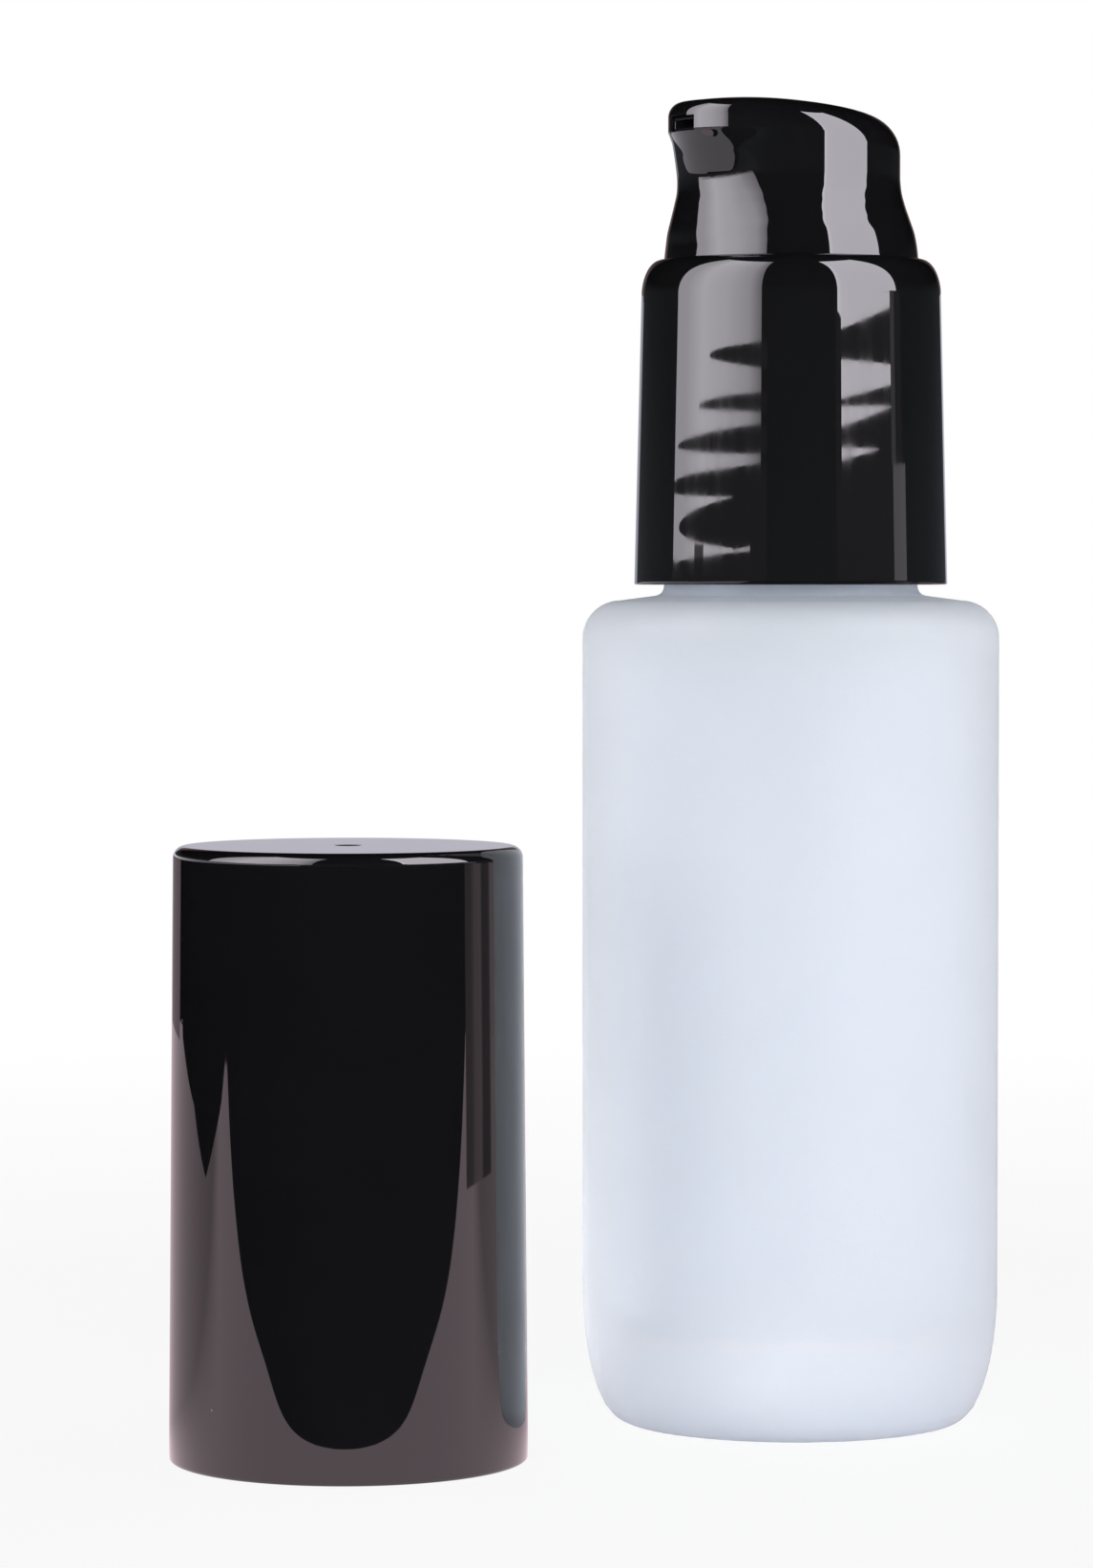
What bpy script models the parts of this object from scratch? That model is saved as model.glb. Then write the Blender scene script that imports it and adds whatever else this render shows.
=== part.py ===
"""Glass pump bottle with its overcap standing beside it, as separate pieces at real size.

Lengths are in metres and +Z is up. The origin is on the table, under the centre of the whole set.
The bottle stands at the right and the overcap at the left, a little nearer to the viewer.
The nozzle points to the left and a little towards the viewer.
"""

import math

import bmesh
import bpy

MM = 0.001
FULL_TURN = 2.0 * math.pi

# Fits between pieces
SEAT_GAP = 0.15 * MM
RUNNING_GAP = 0.15 * MM
SLIDING_GAP = 0.25 * MM
THREAD_GAP = 0.25 * MM
OVERRUN = 1.0 * MM
WELD = 0.0001 * MM

# How finely the round pieces are faceted
OUTER_SIDES = 40
PUMP_SIDES = 24
ARC_STEPS = 4
FILLET_STEPS = 2
THREAD_STEPS_PER_TURN = 24
SHARP_EDGE_DEGREES = 32.0

# Glass body
BODY_RADIUS = 16.5 * MM
GLASS_WALL = 2.9 * MM
GLASS_BASE = 6.2 * MM
SHOULDER_HEIGHT = 65.4 * MM
SHOULDER_RADIUS = 3.0 * MM
SHOULDER_FALL = 0.35 * MM
HEEL_WIDTH = 3.4 * MM
HEEL_HEIGHT = 10.5 * MM
HEEL_STEPS = 7
BEARING_WIDTH = 1.5 * MM
PUSH_UP = 1.1 * MM
PUSH_UP_FLAT_RADIUS = 5.8 * MM
INNER_HEEL_RADIUS = 4.0 * MM
INNER_SHOULDER_RADIUS = 2.6 * MM

# Glass neck and its thread
NECK_RADIUS = 8.9 * MM
NECK_HEIGHT = 12.2 * MM
NECK_BORE_RADIUS = 6.6 * MM
NECK_RING_DEPTH = 1.15 * MM
NECK_RING_HEIGHT = 1.7 * MM
NECK_FILLET = 0.8 * MM
NECK_LIP = 0.5 * MM
THREAD_DEPTH = 0.95 * MM
THREAD_PITCH = 3.175 * MM
THREAD_ROOT = 1.5 * MM
THREAD_CREST = 0.8 * MM
THREAD_BITE = 0.35 * MM
THREAD_START = 5.0 * MM
NECK_THREAD_TURNS = 1.5
CLOSURE_THREAD_TURNS = 1.25
CLOSURE_THREAD_DELAY_TURNS = 0.3
THREAD_FADE_STEPS = 4
THREAD_END_SHARE = 0.12

# Neck gasket, threaded closure and the sleeve over it
GASKET_THICKNESS = 0.8 * MM
GASKET_WIDTH = 3.0 * MM
CLOSURE_WALL = 0.95 * MM
CLOSURE_PLATE = 1.2 * MM
CLOSURE_SKIRT = 11.0 * MM
CLOSURE_EDGE = 0.4 * MM
SLEEVE_HEIGHT = 25.6 * MM
SLEEVE_WALL = 1.2 * MM
SLEEVE_DRAFT = 0.55 * MM
SLEEVE_LIFT = 0.9 * MM
SLEEVE_CORNER = 1.5 * MM
SLEEVE_CORNER_HEIGHT = 2.9 * MM
SLEEVE_LIP = 1.6 * MM
SLEEVE_FLANGE = 1.2 * MM
SLEEVE_GUIDE_WALL = 0.95 * MM
SNAP_BITE = 0.35 * MM
SNAP_HEIGHT = 0.5 * MM

# Pump housing
BARREL_BORE_RADIUS = 3.9 * MM
BARREL_WALL = 0.95 * MM
BARREL_LENGTH = 22.0 * MM
UPPER_BORE_RADIUS = 4.7 * MM
UPPER_WALL = 0.8 * MM
UPPER_DEPTH = 5.6 * MM
FLANGE_RADIUS = 8.7 * MM
FLANGE_THICKNESS = 1.0 * MM
BALL_CHAMBER_RADIUS = 2.3 * MM
BALL_CHAMBER_HEIGHT = 3.4 * MM
VALVE_SEAT_HEIGHT = 1.2 * MM
INLET_RADIUS = 0.9 * MM
INLET_LENGTH = 0.7 * MM
SOCKET_WALL = 0.9 * MM
SOCKET_LENGTH = 7.5 * MM
BARREL_TAPER = 2.0 * MM
VENT_WIDTH = 0.9 * MM
VENT_DEPTH = 7.6 * MM

# Stem guide that closes the housing
GUIDE_HEAD_RADIUS = 5.4 * MM
GUIDE_HEAD_HEIGHT = 3.4 * MM
GUIDE_PLUG_LENGTH = 5.2 * MM
GUIDE_TUBE_WALL = 0.9 * MM
GUIDE_RECESS_DEPTH = 5.0 * MM
GUIDE_EDGE = 0.4 * MM

# Stem, piston and piston rod
STEM_RADIUS = 1.9 * MM
STEM_BORE_RADIUS = 1.0 * MM
STEM_RISE = 5.8 * MM
STEM_COLLAR_RADIUS = 2.9 * MM
STEM_COLLAR_HEIGHT = 1.2 * MM
STEM_TAIL = 2.7 * MM
STEM_EDGE = 0.25 * MM
PISTON_HEIGHT = 2.6 * MM
PISTON_LIP_HEIGHT = 0.8 * MM
PISTON_WAIST_DEPTH = 0.7 * MM
PISTON_SHIFT = 0.5 * MM
PISTON_GROOVE_DEPTH = 0.7 * MM
ROD_HEAD_RADIUS = 2.75 * MM
ROD_HEAD_HEIGHT = 1.1 * MM
ROD_TAIL_RADIUS = 1.35 * MM
ROD_TAIL_LENGTH = 1.6 * MM
ROD_FIN_THICKNESS = 0.5 * MM
ROD_FIN_LENGTH = 5.0 * MM

# Return spring, its seat and the inlet ball
SPRING_WIRE_RADIUS = 0.27 * MM
SPRING_TURNS = 6
SPRING_POINTS_PER_TURN = 12
SPRING_BEVEL_RESOLUTION = 1
SEAT_RING_HEIGHT = 0.8 * MM
SEAT_HOLE_RADIUS = 1.05 * MM
SEAT_CHAMFER = 0.4 * MM
SEAT_LEG_HEIGHT = 1.6 * MM
SEAT_SLOT_WIDTH = 0.7 * MM
SEAT_SLOT_HEIGHT = 1.0 * MM
BALL_RADIUS = 1.5 * MM
BALL_STEPS = 10
BALL_SIDES = 16

# Dip tube
DIP_RADIUS = 1.85 * MM
DIP_WALL = 0.55 * MM
DIP_FLOOR_GAP = 1.2 * MM
DIP_BEVEL_DEGREES = 40.0

# Actuator shell
NOZZLE_TURN_DEGREES = 212.0
SKIRT_RADIUS = 10.05 * MM
SKIRT_DEPTH = 4.5 * MM
ACTUATOR_RISE = 12.6 * MM
ACTUATOR_WALL = 0.9 * MM
WAIST_RADIUS = 8.6 * MM
BEAK_TIP_RADIUS = 5.85 * MM
BEAK_TIP_CENTRE = 4.65 * MM
BEAK_LIP_DROP = 2.7 * MM
CROWN_RADIUS = 34.6 * MM
CROWN_SUMMIT = 4.4 * MM
EDGE_AT_BEAK = 1.05 * MM
EDGE_AT_BACK = 3.0 * MM
EDGE_FADE_POWER = 2.5
EDGE_STEPS = 3
CROWN_RING_SHARES = (0.72, 0.36)

# The flare from skirt to head, each step as a share of the rise above the sleeve,
# a share of the way from skirt to waist radius, and the share of the beak that shows there
FLARE_SHARES = (
    (0.07, 0.06, 0.00),
    (0.16, 0.20, 0.09),
    (0.25, 0.46, 0.22),
    (0.34, 0.73, 0.33),
    (0.43, 0.93, 0.39),
    (0.52, 1.00, 0.48),
    (0.62, 1.00, 0.61),
    (0.71, 1.00, 0.75),
)
WAIST_SHARE = 0.52

# Actuator core and nozzle insert
CORE_WALL = 0.85 * MM
CORE_SOCKET_DROP = 4.0 * MM
CORE_PLATE_THICKNESS = 0.9 * MM
CORE_PLATE_HEIGHT = 7.1 * MM
CORE_CHAMBER_RADIUS = 1.2 * MM
CORE_ARM_WIDTH = 2.5 * MM
CORE_ARM_HEIGHT = 1.1 * MM
CORE_STEP = 0.1 * MM
CORE_CHANNEL_WIDTH = 1.5 * MM
CORE_CHANNEL_HEIGHT = 0.6 * MM
CORE_DROP = 0.15 * MM
INSERT_WIDTH = 3.0 * MM
INSERT_HEIGHT = 1.05 * MM
INSERT_LENGTH = 1.5 * MM
INSERT_SINK = 0.35 * MM
SLOT_WIDTH = 2.5 * MM
SLOT_HEIGHT = 0.65 * MM
SLOT_CENTRE_DROP = 2.2 * MM

# Overcap
OVERCAP_HEIGHT = 46.6 * MM
OVERCAP_WALL = 1.1 * MM
OVERCAP_TOP = 1.3 * MM
OVERCAP_DRAFT = 0.4 * MM
OVERCAP_GRIP = 0.15 * MM
OVERCAP_CORNER = 0.9 * MM
OVERCAP_RIM_EDGE = 0.25 * MM
GATE_RADIUS = 1.0 * MM
GATE_DEPTH = 0.2 * MM
GATE_NUB_RADIUS = 0.35 * MM
GATE_NUB_HEIGHT = 0.12 * MM

# Where the overcap stands, from the bottle's axis
OVERCAP_LEFT = 34.4 * MM
OVERCAP_FORWARD = 20.5 * MM

# Heights that follow from the stack
NECK_TOP = SHOULDER_HEIGHT + NECK_HEIGHT
GASKET_BOTTOM = NECK_TOP + SEAT_GAP
FLANGE_BOTTOM = GASKET_BOTTOM + GASKET_THICKNESS + SEAT_GAP
FLANGE_TOP = FLANGE_BOTTOM + FLANGE_THICKNESS
CLOSURE_CEILING = FLANGE_TOP + SEAT_GAP
CLOSURE_TOP = CLOSURE_CEILING + CLOSURE_PLATE
CLOSURE_BOTTOM = CLOSURE_CEILING - CLOSURE_SKIRT
SLEEVE_BOTTOM = SHOULDER_HEIGHT + SLEEVE_LIFT
SLEEVE_TOP = SLEEVE_BOTTOM + SLEEVE_HEIGHT
GUIDE_SHELF = FLANGE_TOP + SEAT_GAP
GUIDE_TOP = GUIDE_SHELF + GUIDE_HEAD_HEIGHT
GUIDE_BOTTOM = FLANGE_TOP - GUIDE_PLUG_LENGTH
STEM_TOP = SLEEVE_TOP + STEM_RISE
STEM_COLLAR_TOP = GUIDE_BOTTOM - SEAT_GAP
STEM_COLLAR_BOTTOM = STEM_COLLAR_TOP - STEM_COLLAR_HEIGHT
PISTON_TOP = STEM_COLLAR_BOTTOM - SEAT_GAP - PISTON_SHIFT
PISTON_BOTTOM = PISTON_TOP - PISTON_HEIGHT
ROD_HEAD_TOP = PISTON_BOTTOM - SEAT_GAP
ROD_HEAD_BOTTOM = ROD_HEAD_TOP - ROD_HEAD_HEIGHT
BARREL_BOTTOM = FLANGE_TOP - BARREL_LENGTH
SEAT_RING_BOTTOM = BARREL_BOTTOM + SEAT_GAP
SEAT_RING_TOP = SEAT_RING_BOTTOM + SEAT_RING_HEIGHT
BALL_CHAMBER_BOTTOM = BARREL_BOTTOM - BALL_CHAMBER_HEIGHT
VALVE_SEAT_BOTTOM = BALL_CHAMBER_BOTTOM - VALVE_SEAT_HEIGHT
SOCKET_TOP = VALVE_SEAT_BOTTOM - INLET_LENGTH
SOCKET_BOTTOM = SOCKET_TOP - SOCKET_LENGTH
ACTUATOR_TOP = SLEEVE_TOP + ACTUATOR_RISE
SLOT_MIDDLE = ACTUATOR_TOP - SLOT_CENTRE_DROP

# Radii that follow from the fits
BEAK_REACH = BEAK_TIP_CENTRE + BEAK_TIP_RADIUS
BEARING_RADIUS = BODY_RADIUS - HEEL_WIDTH
THREAD_CREST_RADIUS = NECK_RADIUS + THREAD_DEPTH
CLOSURE_BORE_RADIUS = THREAD_CREST_RADIUS + THREAD_GAP
CLOSURE_RADIUS = CLOSURE_BORE_RADIUS + CLOSURE_WALL
CLOSURE_THREAD_DROP = (THREAD_ROOT + THREAD_CREST) / 2 + THREAD_GAP
SLEEVE_BORE_RADIUS = CLOSURE_RADIUS + SEAT_GAP
SLEEVE_RADIUS = SLEEVE_BORE_RADIUS + SLEEVE_WALL
SLEEVE_TOP_RADIUS = SLEEVE_RADIUS - SLEEVE_DRAFT
SLEEVE_MOUTH_RADIUS = SKIRT_RADIUS + SLIDING_GAP
OVERCAP_BORE_RADIUS = SLEEVE_RADIUS + OVERCAP_GRIP
OVERCAP_RADIUS = OVERCAP_BORE_RADIUS + OVERCAP_WALL
STEM_FIT_RADIUS = STEM_RADIUS + RUNNING_GAP
DIP_SOCKET_RADIUS = DIP_RADIUS + SEAT_GAP
SPRING_RADIUS = ROD_HEAD_RADIUS - SPRING_WIRE_RADIUS

# The set is centred on the origin
SET_WIDTH = OVERCAP_RADIUS + OVERCAP_LEFT + BODY_RADIUS
SET_DEPTH = OVERCAP_RADIUS + OVERCAP_FORWARD + BODY_RADIUS
BOTTLE_AXIS = (SET_WIDTH / 2 - BODY_RADIUS, SET_DEPTH / 2 - BODY_RADIUS, 0.0)
OVERCAP_AXIS = (OVERCAP_RADIUS - SET_WIDTH / 2, OVERCAP_RADIUS - SET_DEPTH / 2, 0.0)

# Looks: linear red, green and blue, then roughness and metallic
FROSTED_GLASS = ((0.78, 0.82, 0.90), 0.55, 0.0)
GLOSS_BLACK = ((0.006, 0.006, 0.007), 0.08, 0.0)
NATURAL_PLASTIC = ((0.80, 0.81, 0.80), 0.38, 0.0)
WHITE_FOAM = ((0.86, 0.86, 0.84), 0.75, 0.0)
SOFT_PLASTIC = ((0.74, 0.77, 0.78), 0.45, 0.0)
BRIGHT_STEEL = ((0.62, 0.62, 0.60), 0.22, 1.0)


def clear_scene():
    for thing in list(bpy.data.objects):
        bpy.data.objects.remove(thing)


def axis_empty(name, place, turn_degrees=0.0):
    """An empty that stands on an axis and carries the pieces around it."""
    empty = bpy.data.objects.new(name, None)
    bpy.context.scene.collection.objects.link(empty)
    empty.location = place
    empty.rotation_euler.z = math.radians(turn_degrees)
    return empty


def carried(name, data, axis):
    """An object of this data on the axis empty."""
    obj = bpy.data.objects.new(name, data)
    bpy.context.scene.collection.objects.link(obj)
    obj.parent = axis
    return obj


def finish(obj, look):
    """Gives the piece a Principled material of its own."""
    colour, roughness, metallic = look
    material = bpy.data.materials.new(obj.name)
    material.use_nodes = True
    shader = material.node_tree.nodes["Principled BSDF"]
    shader.inputs["Base Color"].default_value = (*colour, 1.0)
    shader.inputs["Roughness"].default_value = roughness
    shader.inputs["Metallic"].default_value = metallic
    material.diffuse_color = (*colour, 1.0)
    obj.data.materials.append(material)


def shaded_mesh(name, shape):
    """Welds the shape, turns its faces outwards and shades it smooth between its sharp edges."""
    bmesh.ops.remove_doubles(shape, verts=shape.verts, dist=WELD)
    bmesh.ops.recalc_face_normals(shape, faces=shape.faces)
    mesh = bpy.data.meshes.new(name)
    shape.to_mesh(mesh)
    shape.free()
    mesh.shade_smooth()
    mesh.set_sharp_from_angle(angle=math.radians(SHARP_EDGE_DEGREES))
    return mesh


def arc(centre, radii, start, end, steps=ARC_STEPS):
    """Points along an ellipse, from the start angle to the end angle in degrees."""
    angles = [math.radians(start + (end - start) * i / steps) for i in range(steps + 1)]
    return [(centre[0] + radii[0] * math.cos(a), centre[1] + radii[1] * math.sin(a)) for a in angles]


def turned(name, outline, sides, axis):
    """A piece turned from a closed outline of (radius, height) points."""
    shape = bmesh.new()
    points = [shape.verts.new((radius, 0.0, height)) for radius, height in outline]
    edges = [
        shape.edges.new((points[i - 1], points[i]))
        for i in range(len(points))
        if outline[i - 1][0] > 0.0 or outline[i][0] > 0.0
    ]
    bmesh.ops.spin(
        shape,
        geom=points + edges,
        cent=(0.0, 0.0, 0.0),
        axis=(0.0, 0.0, 1.0),
        angle=FULL_TURN,
        steps=sides,
        use_merge=True,
    )
    return carried(name, shaded_mesh(name, shape), axis)


def block(name, low, high, axis):
    """A plain block between two corners."""
    shape = bmesh.new()
    bmesh.ops.create_cube(shape, size=1.0)
    bmesh.ops.scale(shape, verts=shape.verts, vec=[b - a for a, b in zip(low, high)])
    bmesh.ops.translate(shape, verts=shape.verts, vec=[(a + b) / 2 for a, b in zip(low, high)])
    return carried(name, shaded_mesh(name, shape), axis)


def joined_rings(shape, lower, upper):
    """Faces from one ring of vertices to the next, where a ring of one vertex is a pole."""
    for i in range(max(len(lower), len(upper))):
        if len(upper) == 1:
            shape.faces.new((lower[i - 1], lower[i], upper[0]))
        elif len(lower) == 1:
            shape.faces.new((lower[0], upper[i], upper[i - 1]))
        else:
            shape.faces.new((lower[i - 1], lower[i], upper[i], upper[i - 1]))


def lofted(name, skins, axis):
    """A shell between an outer and an inner skin, each given as rings of points from the same rim."""
    shape = bmesh.new()
    outer, inner = [[[shape.verts.new(point) for point in ring] for ring in skin] for skin in skins]
    joined_rings(shape, outer[0], inner[0])
    for skin in (outer, inner):
        for lower, upper in zip(skin, skin[1:]):
            joined_rings(shape, lower, upper)
    return carried(name, shaded_mesh(name, shape), axis)


def combine(obj, other, operation):
    """Joins or cuts obj with a helper shape, which is no piece itself."""
    other.hide_render = True
    other.display_type = "WIRE"
    modifier = obj.modifiers.new(other.name, "BOOLEAN")
    modifier.operation = operation
    modifier.solver = "EXACT"
    modifier.object = other


def thread(name, buried_radius, crest_radius, start, turns, delay_turns, axis):
    """A helical ridge from inside the wall to its crest, fading into the wall at both ends."""
    steps = round(turns * THREAD_STEPS_PER_TURN)
    sections = []
    for i in range(steps + 1):
        turned_by = delay_turns + i / THREAD_STEPS_PER_TURN
        cosine, sine = math.cos(FULL_TURN * turned_by), math.sin(FULL_TURN * turned_by)
        height = start + THREAD_PITCH * turned_by
        fade = max(min(i, steps - i) / THREAD_FADE_STEPS, THREAD_END_SHARE)
        crest = buried_radius + (crest_radius - buried_radius) * min(fade, 1.0)
        profile = (
            (buried_radius, -THREAD_ROOT / 2),
            (crest, -THREAD_CREST / 2),
            (crest, THREAD_CREST / 2),
            (buried_radius, THREAD_ROOT / 2),
        )
        sections.append([(radius * cosine, radius * sine, height + rise) for radius, rise in profile])
    shape = bmesh.new()
    loops = [[shape.verts.new(point) for point in section] for section in sections]
    for lower, upper in zip(loops, loops[1:]):
        joined_rings(shape, lower, upper)
    shape.faces.new(loops[0])
    shape.faces.new(loops[-1])
    return carried(name, shaded_mesh(name, shape), axis)


def glass_bottle(axis):
    """Thick glass body with a rounded heel and shoulder, a pushed-up base and a threaded neck."""
    slope_end = SHOULDER_HEIGHT - SHOULDER_FALL
    ceiling = slope_end - GLASS_WALL
    bore_wall = BODY_RADIUS - GLASS_WALL
    ring_radius = NECK_RADIUS + NECK_RING_DEPTH
    ring_top = SHOULDER_HEIGHT + NECK_RING_HEIGHT
    lip_height = NECK_TOP - NECK_LIP
    outline = [(0.0, PUSH_UP), (PUSH_UP_FLAT_RADIUS, PUSH_UP), (BEARING_RADIUS - BEARING_WIDTH, 0.0)]
    outline += arc((BEARING_RADIUS, HEEL_HEIGHT), (HEEL_WIDTH, HEEL_HEIGHT), -90.0, 0.0, HEEL_STEPS)
    outline += arc(
        (BODY_RADIUS - SHOULDER_RADIUS, slope_end - SHOULDER_RADIUS),
        (SHOULDER_RADIUS, SHOULDER_RADIUS),
        0.0,
        90.0,
    )
    outline += arc(
        (ring_radius + NECK_FILLET, SHOULDER_HEIGHT + NECK_FILLET),
        (NECK_FILLET, NECK_FILLET),
        270.0,
        180.0,
        FILLET_STEPS,
    )
    outline += [(ring_radius, ring_top), (NECK_RADIUS, ring_top + NECK_RING_DEPTH)]
    for lip_radius, start in ((NECK_RADIUS - NECK_LIP, 0.0), (NECK_BORE_RADIUS + NECK_LIP, 90.0)):
        outline += arc((lip_radius, lip_height), (NECK_LIP, NECK_LIP), start, start + 90.0, FILLET_STEPS)
    outline += [(NECK_BORE_RADIUS, ceiling + NECK_FILLET), (NECK_BORE_RADIUS + NECK_FILLET, ceiling)]
    outline += arc(
        (bore_wall - INNER_SHOULDER_RADIUS, ceiling - INNER_SHOULDER_RADIUS),
        (INNER_SHOULDER_RADIUS, INNER_SHOULDER_RADIUS),
        90.0,
        0.0,
    )
    outline += arc(
        (bore_wall - INNER_HEEL_RADIUS, GLASS_BASE + INNER_HEEL_RADIUS),
        (INNER_HEEL_RADIUS, INNER_HEEL_RADIUS),
        0.0,
        -90.0,
    )
    outline += [(0.0, GLASS_BASE)]
    bottle = turned("glass_bottle", outline, OUTER_SIDES, axis)
    start = SHOULDER_HEIGHT + THREAD_START
    buried = NECK_RADIUS - THREAD_BITE
    ridge = thread("neck_thread", buried, THREAD_CREST_RADIUS, start, NECK_THREAD_TURNS, 0.0, axis)
    combine(bottle, ridge, "UNION")
    finish(bottle, FROSTED_GLASS)


def neck_gasket(axis):
    """Foam ring between the glass lip and the pump's flange."""
    inner, outer = FLANGE_RADIUS - GASKET_WIDTH, FLANGE_RADIUS
    low, high = GASKET_BOTTOM, GASKET_BOTTOM + GASKET_THICKNESS
    outline = [(inner, low), (outer, low), (outer, high), (inner, high)]
    finish(turned("neck_gasket", outline, PUMP_SIDES, axis), WHITE_FOAM)


def threaded_closure(axis):
    """Inner screw cap that holds the pump's flange down on the neck."""
    hole = GUIDE_HEAD_RADIUS + SLIDING_GAP
    outline = [
        (CLOSURE_BORE_RADIUS, CLOSURE_BOTTOM),
        (CLOSURE_RADIUS - CLOSURE_EDGE, CLOSURE_BOTTOM),
        (CLOSURE_RADIUS, CLOSURE_BOTTOM + CLOSURE_EDGE),
        (CLOSURE_RADIUS, CLOSURE_TOP - CLOSURE_EDGE),
        (CLOSURE_RADIUS - CLOSURE_EDGE, CLOSURE_TOP),
        (hole, CLOSURE_TOP),
        (hole, CLOSURE_CEILING),
        (CLOSURE_BORE_RADIUS, CLOSURE_CEILING),
    ]
    closure = turned("threaded_closure", outline, OUTER_SIDES, axis)
    ridge = thread(
        "closure_thread",
        CLOSURE_BORE_RADIUS + THREAD_BITE,
        NECK_RADIUS + THREAD_GAP,
        SHOULDER_HEIGHT + THREAD_START - CLOSURE_THREAD_DROP,
        CLOSURE_THREAD_TURNS,
        CLOSURE_THREAD_DELAY_TURNS,
        axis,
    )
    combine(closure, ridge, "UNION")
    finish(closure, NATURAL_PLASTIC)


def collar_sleeve(axis):
    """Gloss black outer sleeve, snapped over the closure, with a mouth that guides the actuator."""
    guide_bore = SLEEVE_TOP_RADIUS - SLEEVE_GUIDE_WALL
    ledge = CLOSURE_TOP + SEAT_GAP
    lip_bottom = SLEEVE_TOP - SLEEVE_LIP
    snap_radius = SLEEVE_BORE_RADIUS - SNAP_BITE
    snap_top = CLOSURE_BOTTOM - SEAT_GAP
    snap_bottom = snap_top - SNAP_HEIGHT
    outline = [(SLEEVE_BORE_RADIUS, SLEEVE_BOTTOM), (SLEEVE_RADIUS, SLEEVE_BOTTOM)]
    outline += arc(
        (SLEEVE_TOP_RADIUS - SLEEVE_CORNER, SLEEVE_TOP - SLEEVE_CORNER_HEIGHT),
        (SLEEVE_CORNER, SLEEVE_CORNER_HEIGHT),
        0.0,
        90.0,
    )
    outline += [
        (SLEEVE_MOUTH_RADIUS, SLEEVE_TOP),
        (SLEEVE_MOUTH_RADIUS, lip_bottom),
        (guide_bore, lip_bottom - SEAT_GAP),
        (guide_bore, ledge + SLEEVE_FLANGE),
        (SLEEVE_MOUTH_RADIUS, ledge + SLEEVE_FLANGE),
        (SLEEVE_MOUTH_RADIUS, ledge),
        (SLEEVE_BORE_RADIUS, ledge),
        (SLEEVE_BORE_RADIUS, snap_top),
        (snap_radius, snap_top - SEAT_GAP),
        (snap_radius, snap_bottom),
        (SLEEVE_BORE_RADIUS, snap_bottom - SNAP_BITE),
    ]
    finish(turned("collar_sleeve", outline, OUTER_SIDES, axis), GLOSS_BLACK)


def pump_housing(axis):
    """Barrel with its flange, valve chamber, inlet, dip tube socket and vent hole."""
    upper = UPPER_BORE_RADIUS + UPPER_WALL
    barrel = BARREL_BORE_RADIUS + BARREL_WALL
    socket = DIP_SOCKET_RADIUS + SOCKET_WALL
    step = FLANGE_TOP - UPPER_DEPTH
    outline = [
        (UPPER_BORE_RADIUS, FLANGE_TOP),
        (FLANGE_RADIUS, FLANGE_TOP),
        (FLANGE_RADIUS, FLANGE_BOTTOM),
        (upper, FLANGE_BOTTOM),
        (upper, step - UPPER_WALL),
        (barrel, step - UPPER_WALL - BARREL_WALL),
        (barrel, BARREL_BOTTOM),
        (socket, BALL_CHAMBER_BOTTOM - BARREL_TAPER),
        (socket, SOCKET_BOTTOM),
        (DIP_SOCKET_RADIUS, SOCKET_BOTTOM),
        (DIP_SOCKET_RADIUS, SOCKET_TOP),
        (INLET_RADIUS, SOCKET_TOP),
        (INLET_RADIUS, VALVE_SEAT_BOTTOM),
        (BALL_CHAMBER_RADIUS, BALL_CHAMBER_BOTTOM),
        (BALL_CHAMBER_RADIUS, BARREL_BOTTOM),
        (BARREL_BORE_RADIUS, BARREL_BOTTOM),
        (BARREL_BORE_RADIUS, step - RUNNING_GAP),
        (UPPER_BORE_RADIUS, step),
    ]
    housing = turned("pump_housing", outline, PUMP_SIDES, axis)
    low = FLANGE_TOP - VENT_DEPTH - VENT_WIDTH / 2
    vent_low = (BARREL_BORE_RADIUS - OVERRUN, -VENT_WIDTH / 2, low)
    vent_high = (upper + OVERRUN, VENT_WIDTH / 2, low + VENT_WIDTH)
    combine(housing, block("vent_cutter", vent_low, vent_high, axis), "DIFFERENCE")
    finish(housing, NATURAL_PLASTIC)


def stem_guide(axis):
    """Plug that closes the housing and guides the stem, with a moulding recess in its top."""
    plug = UPPER_BORE_RADIUS - SEAT_GAP
    tube = STEM_FIT_RADIUS + GUIDE_TUBE_WALL
    recess = plug - GUIDE_TUBE_WALL
    recess_floor = GUIDE_TOP - GUIDE_RECESS_DEPTH
    outline = [
        (STEM_FIT_RADIUS, GUIDE_BOTTOM),
        (plug, GUIDE_BOTTOM),
        (plug, GUIDE_SHELF),
        (GUIDE_HEAD_RADIUS, GUIDE_SHELF),
        (GUIDE_HEAD_RADIUS, GUIDE_TOP - GUIDE_EDGE),
        (GUIDE_HEAD_RADIUS - GUIDE_EDGE, GUIDE_TOP),
        (recess, GUIDE_TOP),
        (recess, recess_floor),
        (tube, recess_floor),
        (tube, GUIDE_TOP),
        (STEM_FIT_RADIUS, GUIDE_TOP),
    ]
    finish(turned("stem_guide", outline, PUMP_SIDES, axis), NATURAL_PLASTIC)


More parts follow.
